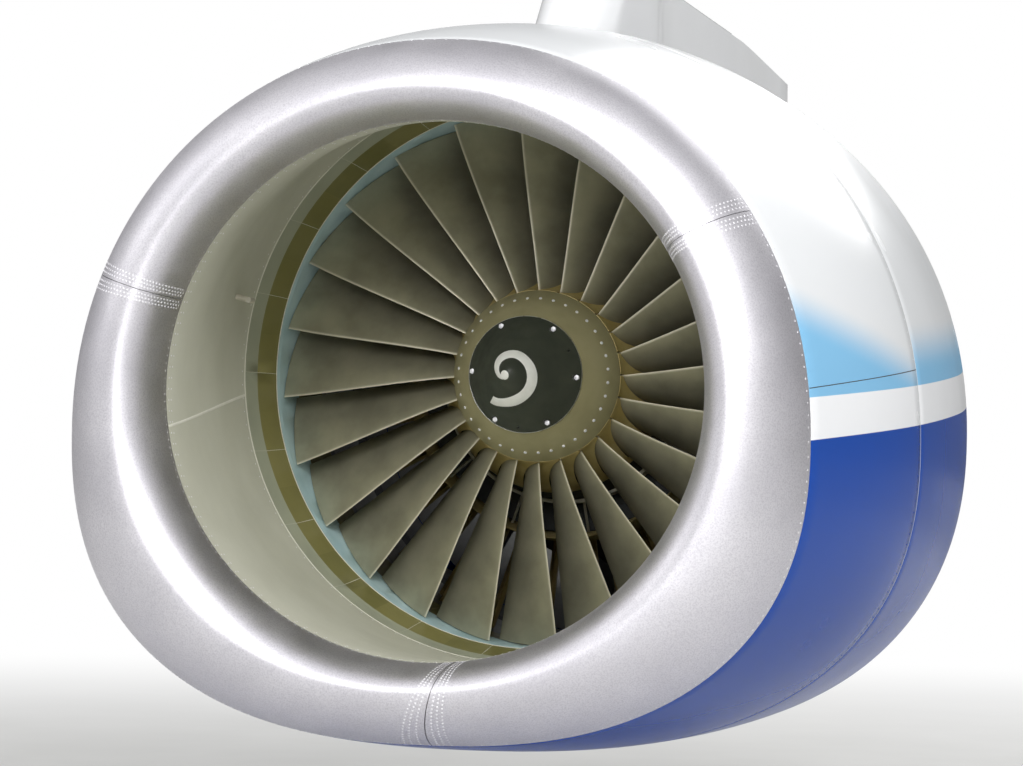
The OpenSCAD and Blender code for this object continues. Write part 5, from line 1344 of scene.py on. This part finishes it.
@dataclass
class FanCowls:
    """The two hinged fan cowls, the strake and the latches."""

    gap_top: float = 150.0
    gap_keel: float = 3.0
    skin_mm: float = 8.0
    steps: int = 96
    stations: int = 24
    latch_ys: tuple[float, float, float] = (-60.0, 200.0, 440.0)
    hinge_ys: tuple[float, float, float, float] = (120.0, 290.0, 470.0, 640.0)

    def shell(self, side: Side) -> bpy.types.Object:
        """Lofts one cowl's skin and cuts the seats of the latches."""
        ys = np.linspace(FORM.cowl_front_y + 3.0, FORM.cowl_rear_y - 3.0, self.stations)
        loops = []
        for k in range(self.steps + 1):
            u = k / self.steps
            t_out, t_in = (mix(FORM.top_t(ys, self.gap_top, inset), FORM.keel_t(ys, self.gap_keel, inset), u)
                           for inset in (0.0, self.skin_mm))
            loops.append(np.concatenate([FORM.skin(ys, t_out), FORM.skin(ys, t_in, self.skin_mm)[::-1]]))
        loops = np.array(loops)
        loops[..., 0] *= side.value
        shell = loft(f"fan_cowl_skin_{side.word}", loops, capped=True)
        for y in self.latch_ys:
            low, high = sorted((-1.0 * side.value, 57.0 * side.value))
            cut(shell, box("cutter", (low, y, -1061.0), (high, y + 50.0, -1031.0), 0.0))
        return rounded(shell, 1.0, 60.0)

    def lugs(self, side: Side) -> bpy.types.Object:
        """The hinge lugs of one cowl."""
        parts = []
        for y in self.hinge_ys:
            crown = float(FORM.crown(y))
            x = 140.0 * side.value
            sleeve = rod("lug", (x, y + 27.0, 975.0), (x, y + 51.0, 975.0), 9.0, 32, 1.0)
            bore = rod("cutter", (x, y + 20.0, 975.0), (x, y + 60.0, 975.0), 5.05, 32, 0.0)
            low, high = sorted((x, x + 28.0 * side.value))
            arm = box("arm", (low, y + 27.0, 966.0), (high, y + 51.0, crown - 16.0), 1.0)
            seat = rod("cutter", (x, y + 20.0, 975.0), (x, y + 60.0, 975.0), 8.8, 32, 0.0)
            parts += [cut(sleeve, bore), cut(arm, seat)]
        return joined(f"fan_cowl_lugs_{side.word}", parts)

    def latch_ears(self) -> bpy.types.Object:
        """The ears on the right cowl that carry the latch handles' pins."""
        parts = []
        for y in self.latch_ys:
            for s in (-6.0, 50.0):
                parts.append(box("ear", (37.0, y + s, -1048.2), (55.0, y + s + 6.0, -1030.2), 0.8))
        ears = joined("latch_ears_right", parts)
        for y in self.latch_ys:
            cut(ears, rod("cutter", (46.0, y - 9.0, -1039.694), (46.0, y + 59.0, -1039.694), 4.05, 32, 0.0))
        return ears

    def strake(self) -> bpy.types.Object:
        """The D-shaped strake on the inboard cowl."""
        def row(y: float, inset: float) -> np.ndarray:
            """A point of the row of the skin that carries the strake."""
            t = mix(FORM.top_t(y, self.gap_top), FORM.keel_t(y, self.gap_keel), 7.0 / 22.0)
            p = FORM.skin(y, t, inset)
            return p * (-1.0, 1.0, 1.0)

        loops = []
        for k in range(41):
            w = k / 40.0
            y = mix(-31.5, 616.0, w)
            p, q = row(y, -0.3), row(y, -10.0)
            n = (q - p) / np.linalg.norm(q - p)
            h = 6.0 + 190.0 * math.sin(math.pi * w ** 0.7) ** 0.8
            s = np.array((n[2], 0.0, -n[0])) * 4.0
            loops.append(np.array([p + s * 1.6, p - s * 1.6, p - s + n * 5.0, p - s * 0.6 + n * (h - 3.0),
                                   p + n * h, p + s * 0.6 + n * (h - 3.0), p + s + n * 5.0]))
        return loft("strake_blade", np.array(loops), capped=True)

    def build(self) -> None:
        """Builds and dresses the cowls."""
        for side in Side:
            body = f"fan_cowl_door_{side.word}"
            cowl = dress(self.shell(side), LIVERY, body, f"fan_cowl_{side.word}", slot="white_paint")
            line_inside(cowl, PRIMER)
            dress(self.lugs(side), STEEL, body, slot="steel")
        dress(self.latch_ears(), STEEL, "fan_cowl_door_right", slot="steel")
        dress(self.strake(), FAIRING_WHITE, "fan_cowl_door_left", "nacelle_strake", slot="white_paint")
        refined_copy("cowl_latches", STEEL, "latch_handles", 0.8, slot="steel")


@dataclass
class Sleeves:
    """The translating sleeves that form the nacelle's rear."""

    gap_top: float = 150.0
    gap_keel: float = 3.0
    steps: int = 96
    duct_r: float = 797.0

    def shell(self, side: Side) -> bpy.types.Object:
        """Lofts one sleeve from its outer skin, nozzle edge, duct wall and door recess."""
        front = FORM.cowl_rear_y + 3.0
        recess = (self.duct_r + 23.0) / math.cos(math.radians(4.5))
        out_ys = np.array((FORM.exit_y, 2250.0, 2150.0, 2050.0, 1930.0, 1810.0, 1700.0, 1580.0, 1460.0,
                           1350.0, 1230.0, 1110.0, 1000.0, 900.0, 800.0, 740.0, front))
        in_ys = np.array((front, 850.0, 1050.0, 1250.0, 1430.0, 1600.0, 1780.0, 1950.0))
        duct = ((2180.0, 762.0), (2000.0, 768.0), (1800.0, 778.0), (1500.0, self.duct_r + 8.0),
                (860.0, recess + 12.0), (860.0, recess), (1051.0, recess), (1051.0, self.duct_r),
                (1400.0, 790.0), (1700.0, 781.0), (1950.0, 770.0), (2150.0, 755.0),
                (FORM.exit_y - 1.0, FORM.exit_r - 10.0))
        loops = []
        for k in range(self.steps + 1):
            u = k / self.steps
            t = mix(FORM.top_t(out_ys, self.gap_top), FORM.keel_t(out_ys, self.gap_keel), u)
            v = mix(FORM.top_t(in_ys, self.gap_top, 10.0), FORM.keel_t(in_ys, self.gap_keel, 10.0), u)
            line = [FORM.skin(out_ys, t), FORM.skin(in_ys, v, 10.0)]
            for y, r in duct:
                a = math.radians(mix(math.degrees(math.acos(self.gap_top / r)),
                                     -math.degrees(math.acos(self.gap_keel / r)), u))
                line.append(np.array([(r * math.cos(a), y, r * math.sin(a))]))
            loops.append(np.concatenate(line))
        loops = np.array(loops)
        loops[..., 0] *= side.value
        return loft(f"sleeve_shell_{side.word}", loops, capped=True)

    def build(self) -> None:
        """Builds and dresses both sleeves."""
        for side in Side:
            body = f"translating_sleeve_{side.word}"
            sleeve = dress(self.shell(side), LIVERY, body, f"sleeve_{side.word}", slot="white_paint")
            line_inside(sleeve, BYPASS_GREY)


@dataclass
class MountFairing:
    """The pylon fairing over the support beam."""

    half_w: float = 125.0
    waist: float = 94.0
    nose_y: float = 120.0
    nose_mm: float = 260.0
    tail_y: float = 3620.0
    wall: float = 5.0
    rake_mm: float = 330.0
    # X of the fan cowls' upper edges' inner lip, to which the seals reach.
    seal_x: float = 147.0
    # The crown strip: half width, thickness and width of its eased edge.
    strip: tuple[float, float, float] = (125.0, 5.0, 4.0)
    levels: int = 24

    def foot(self, y: float) -> float:
        """Height of the fairing's lower edge at a station."""
        crown = float(FORM.crown(min(y, 1450.0))) - 1000.0 + 987.5 + 3.7
        low = crown if y < 1450.0 else mix(crown, 700.0, ease(min(1.0, (y - 1450.0) / 800.0)))
        return low + 330.0 * min(1.0, max(0.0, (y - 2250.0) / 1370.0))

    def head(self, y: float) -> float:
        """Height of the fairing's upper edge at a station."""
        return 1292.0 - 50.0 * min(1.0, max(0.0, (y - 2480.0) / 1140.0))

    def half(self, y: float, inset: float) -> float:
        """Half width behind the rounded nose: full, then narrow beside the sleeves, then the tail."""
        w = mix(self.half_w, self.waist, ease(min(1.0, max(0.0, (y - 900.0) / 265.0)))) - inset
        return float(np.interp(y, (2640.0, 3380.0, self.tail_y - 2.0 * inset),
                               (w, 0.94 * (self.waist - inset), 30.0 - inset)))

    def side(self, inset: float) -> list[tuple[float, float]]:
        """Half of the plan outline, as X and station."""
        nose = []
        for a in np.radians(range(5, 91, 5)):
            back = (self.nose_mm - inset) * (1.0 - math.cos(a))
            nose.append(((self.half_w - inset) * math.sin(a), self.nose_y + inset + back))
        ys = (480.0, 580.0, 700.0, 800.0, 900.0, 950.0, 1000.0, 1050.0, 1100.0, 1165.0, 1300.0, 1450.0,
              1650.0, 1850.0, 2050.0, 2250.0, 2450.0, 2640.0, 2800.0, 3000.0, 3200.0, 3380.0, 3500.0,
              self.tail_y - 2.0 * inset)
        return nose + [(self.half(y, inset), y) for y in ys]

    def plan(self, inset: float) -> list[tuple[float, float]]:
        """The whole plan outline."""
        half = self.side(inset)
        return half + [(-x, y) for x, y in reversed(half)]

    def column(self, x: float, y: float) -> np.ndarray:
        """Points of the wall above one point of the plan."""
        v = np.linspace(0.0, 1.0, self.levels + 1)
        rake = self.rake_mm * min(1.0, max(0.0, 1.0 - (y - self.nose_y) / 800.0))
        return stack(x, y + rake * v, mix(self.foot(y), self.head(y), v))

    def seals(self) -> bpy.types.Object:
        """The dark seals on which the fan cowls' upper edges close."""
        parts = []
        for sign in (-1.0, 1.0):
            rows = []
            for y in np.linspace(FORM.cowl_front_y + 6.0, FORM.cowl_rear_y - 6.0, 40):
                z = float(FORM.crown(y)) - 9.4 - (4.0 if y < 400.0 else 0.0)
                near = self.half(y, 0.0) - 3.0
                rows.append(np.array([(sign * x, y, z + h) for x, h in (
                    (near, 0.0), (mix(near, self.seal_x, 0.5), -1.6), (self.seal_x, -3.0),
                    (self.seal_x, -5.5), (near, -5.5))]))
            parts.append(loft("seal", np.array(rows), capped=True))
        return joined("cowl_edge_seals", parts)

    def wall_ring(self) -> bpy.types.Object:
        """The raked wall, open above for the wing."""
        loops = [np.concatenate([self.column(*a), self.column(*b)[::-1]])
                 for a, b in zip(self.plan(0.0), self.plan(self.wall))]
        return loft("fairing_wall", np.array(loops), ring_rows=True)

    def crown_strip(self) -> bpy.types.Object:
        """The flat strip between the upper edges of the fan cowls."""
        half, thick, ease_mm = self.strip
        edge = ((-half, 0.0), (half, 0.0), (half, thick - 1.0), (half - ease_mm, thick),
                (ease_mm - half, thick), (-half, thick - 1.0))
        rows = []
        for y in np.linspace(FORM.cowl_front_y + 4.0, 384.0, 30):
            low = float(FORM.crown(min(y, FORM.widest_y))) - 12.5 + 0.3
            rows.append(np.array([(x, y, low + h) for x, h in edge]))
        return loft("crown_strip", np.array(rows), capped=True)

    def build(self) -> None:
        """Builds and dresses the fairing."""
        dress(self.wall_ring(), FAIRING_WHITE, "engine", "mount_fairing", slot="white_paint")
        dress(self.crown_strip(), FAIRING_WHITE, "engine", slot="white_paint")
        dress(self.seals(), RUBBER, "engine", slot="dark_cone")


# ---------------------------------------------------------------- machinery behind the skins


@dataclass
class Machinery:
    """The CAD nodes that keep their shape and get their real finishes."""

    def build(self) -> None:
        """Assigns a material to each node that is carried over."""
        finishes = {
            STEEL: ("fan_case", "fan_disk", "main_bearings", "low_pressure_shaft", "compressor_case",
                    "high_pressure_rotor", "fuel_nozzles", "radial_drive_shaft", "support_beam",
                    "engine_hangers", "door_hinges_left", "door_hinges_right"),
            DARK_STEEL: ("booster_rotor", "gearbox_accessories", "cascade_frame_left", "cascade_frame_right"),
            CORE_AMBER: ("splitter_case",),
            BARE_STEEL: ("temperature_probe", "booster_vanes"),
            ALLOY: ("fan_frame", "accessory_gearbox", "oil_tank"),
            BYPASS_GREY: ("core_cowl_left", "core_cowl_right") + tuple(
                f"blocker_door_{s.word}_{k}" for s in Side for k in range(1, 5)),
            HOT_METAL: ("combustor_case", "combustor_liner", "turbine_case", "low_pressure_turbine",
                        "turbine_rear_frame", "core_nozzle", "exhaust_plug"),
            VANE_GOLD: ("outlet_guide_vanes",),
            PRIMER: ("inlet_bulkheads",),
        }
        for finish, nodes in finishes.items():
            for node in nodes:
                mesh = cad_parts[node].data
                mesh.materials.clear()
                mesh.materials.append(finish.material())
            LOG.info("%s on %d nodes", finish.name, len(nodes))


# ---------------------------------------------------------------- studio


@dataclass
class Studio:
    """A pale floor, soft light from large lamps and the camera at the photograph's place."""

    floor_z: float = -2.86
    eye: tuple[float, float, float] = (2.317, -9.465, -1.580)
    view: tuple[float, float, float] = (-0.2656, 0.9637, 0.0288)
    up: tuple[float, float, float] = (-0.0070, -0.0318, 0.9995)
    focal_px: float = 3146.0
    sensor_mm: float = 36.0
    # Where the lamps look: the middle of the engine.
    aim: tuple[float, float, float] = (0.0, -0.6, -1.3)

    def floor(self) -> None:
        """A wide pale floor that keeps the object's shadow."""
        deselect()
        bpy.ops.mesh.primitive_plane_add(size=160.0, location=(0.0, 0.0, self.floor_z))
        floor = bpy.context.active_object
        floor.name = "studio_floor"
        bpy.ops.object.transform_apply(location=True, rotation=True, scale=True)
        floor.data.materials.append(FLOOR.material())

    def lamp(self, name: str, place: Sequence[float], size: tuple[float, float], watts: float) -> None:
        """Adds a soft lamp that looks at the middle of the engine."""
        deselect()
        bpy.ops.object.light_add(type="AREA", location=place)
        lamp = bpy.context.active_object
        lamp.name = name
        lamp.data.shape = "RECTANGLE"
        lamp.data.size, lamp.data.size_y = size
        lamp.data.energy = watts
        way = Vector(self.aim) - Vector(place)
        lamp.rotation_euler = way.to_track_quat("-Z", "Y").to_euler()

    def world(self) -> None:
        """A soft grey surround that the camera sees as white."""
        world = bpy.data.worlds.new("studio_surround")
        bpy.context.scene.world = world
        world.use_nodes = True
        tree = world.node_tree
        tree.nodes.clear()
        where = add_node(tree, "ShaderNodeTexCoord")
        axes = add_node(tree, "ShaderNodeSeparateXYZ", {}, {"Vector": where.outputs["Generated"]})
        height = add_node(tree, "ShaderNodeMapRange", {"interpolation_type": "SMOOTHSTEP"}, {
            "Value": axes.outputs["Z"], "From Min": -0.15, "From Max": 0.75, "To Min": 0.45, "To Max": 0.80})
        # The surround is dimmer behind the engine, so the lip's outline stands out as in daylight.
        aft = add_node(tree, "ShaderNodeMapRange", {"interpolation_type": "SMOOTHSTEP"}, {
            "Value": axes.outputs["Y"], "From Min": -0.1, "From Max": 0.9, "To Min": 1.0, "To Max": 0.30})
        dim = add_node(tree, "ShaderNodeMath", {"operation": "MULTIPLY"}, {
            0: height.outputs["Result"], 1: aft.outputs["Result"]})
        path = add_node(tree, "ShaderNodeLightPath")
        level = add_node(tree, "ShaderNodeMix", {"data_type": "FLOAT"}, {
            0: path.outputs["Is Camera Ray"], 2: dim.outputs["Value"], 3: 1.0})
        surround = add_node(tree, "ShaderNodeBackground", {}, {
            "Color": (1.0, 1.0, 1.0, 1.0), "Strength": level.outputs[0]})
        add_node(tree, "ShaderNodeOutputWorld", {}, {"Surface": surround.outputs["Background"]})

    def camera(self) -> None:
        """The camera at the photograph's angle and distance."""
        back = -Vector(self.view).normalized()
        up = Vector(self.up)
        right = up.cross(back).normalized()
        up = back.cross(right).normalized()
        matrix = Matrix((right, up, back)).transposed().to_4x4()
        matrix.translation = Vector(self.eye)
        data = bpy.data.cameras.new("photo_camera")
        data.sensor_width = self.sensor_mm
        data.lens = self.focal_px * self.sensor_mm / PHOTO_WIDTH_PX
        data.clip_end = 400.0
        camera = bpy.data.objects.new("photo_camera", data)
        bpy.context.scene.collection.objects.link(camera)
        camera.matrix_world = matrix
        bpy.context.scene.camera = camera

    def build(self) -> None:
        """Sets the whole stage."""
        bpy.context.scene.view_settings.view_transform = "Standard"
        self.floor()
        self.world()
        self.camera()
        self.lamp("key_lamp", (5.0, -8.0, 4.5), (3.5, 3.0), 430.0)
        self.lamp("fill_lamp", (-6.5, -5.0, 2.0), (4.0, 4.0), 60.0)
        self.lamp("duct_lamp", (0.6, -9.5, 1.6), (5.0, 3.5), 330.0)
        self.lamp("rear_lamp", (2.0, 8.0, 4.0), (5.0, 4.0), 320.0)


def main() -> None:
    """Builds every sub-assembly in order, then the stage."""
    for assembly in (Studio(), InletLip(), InletBarrels(), FanCaseLiners(), FanRotor(), Spinner(), FanCowls(),
                     Sleeves(), MountFairing(), Machinery()):
        assembly.build()
        LOG.info("%s done", type(assembly).__name__)


if __name__ == "__main__":
    main()
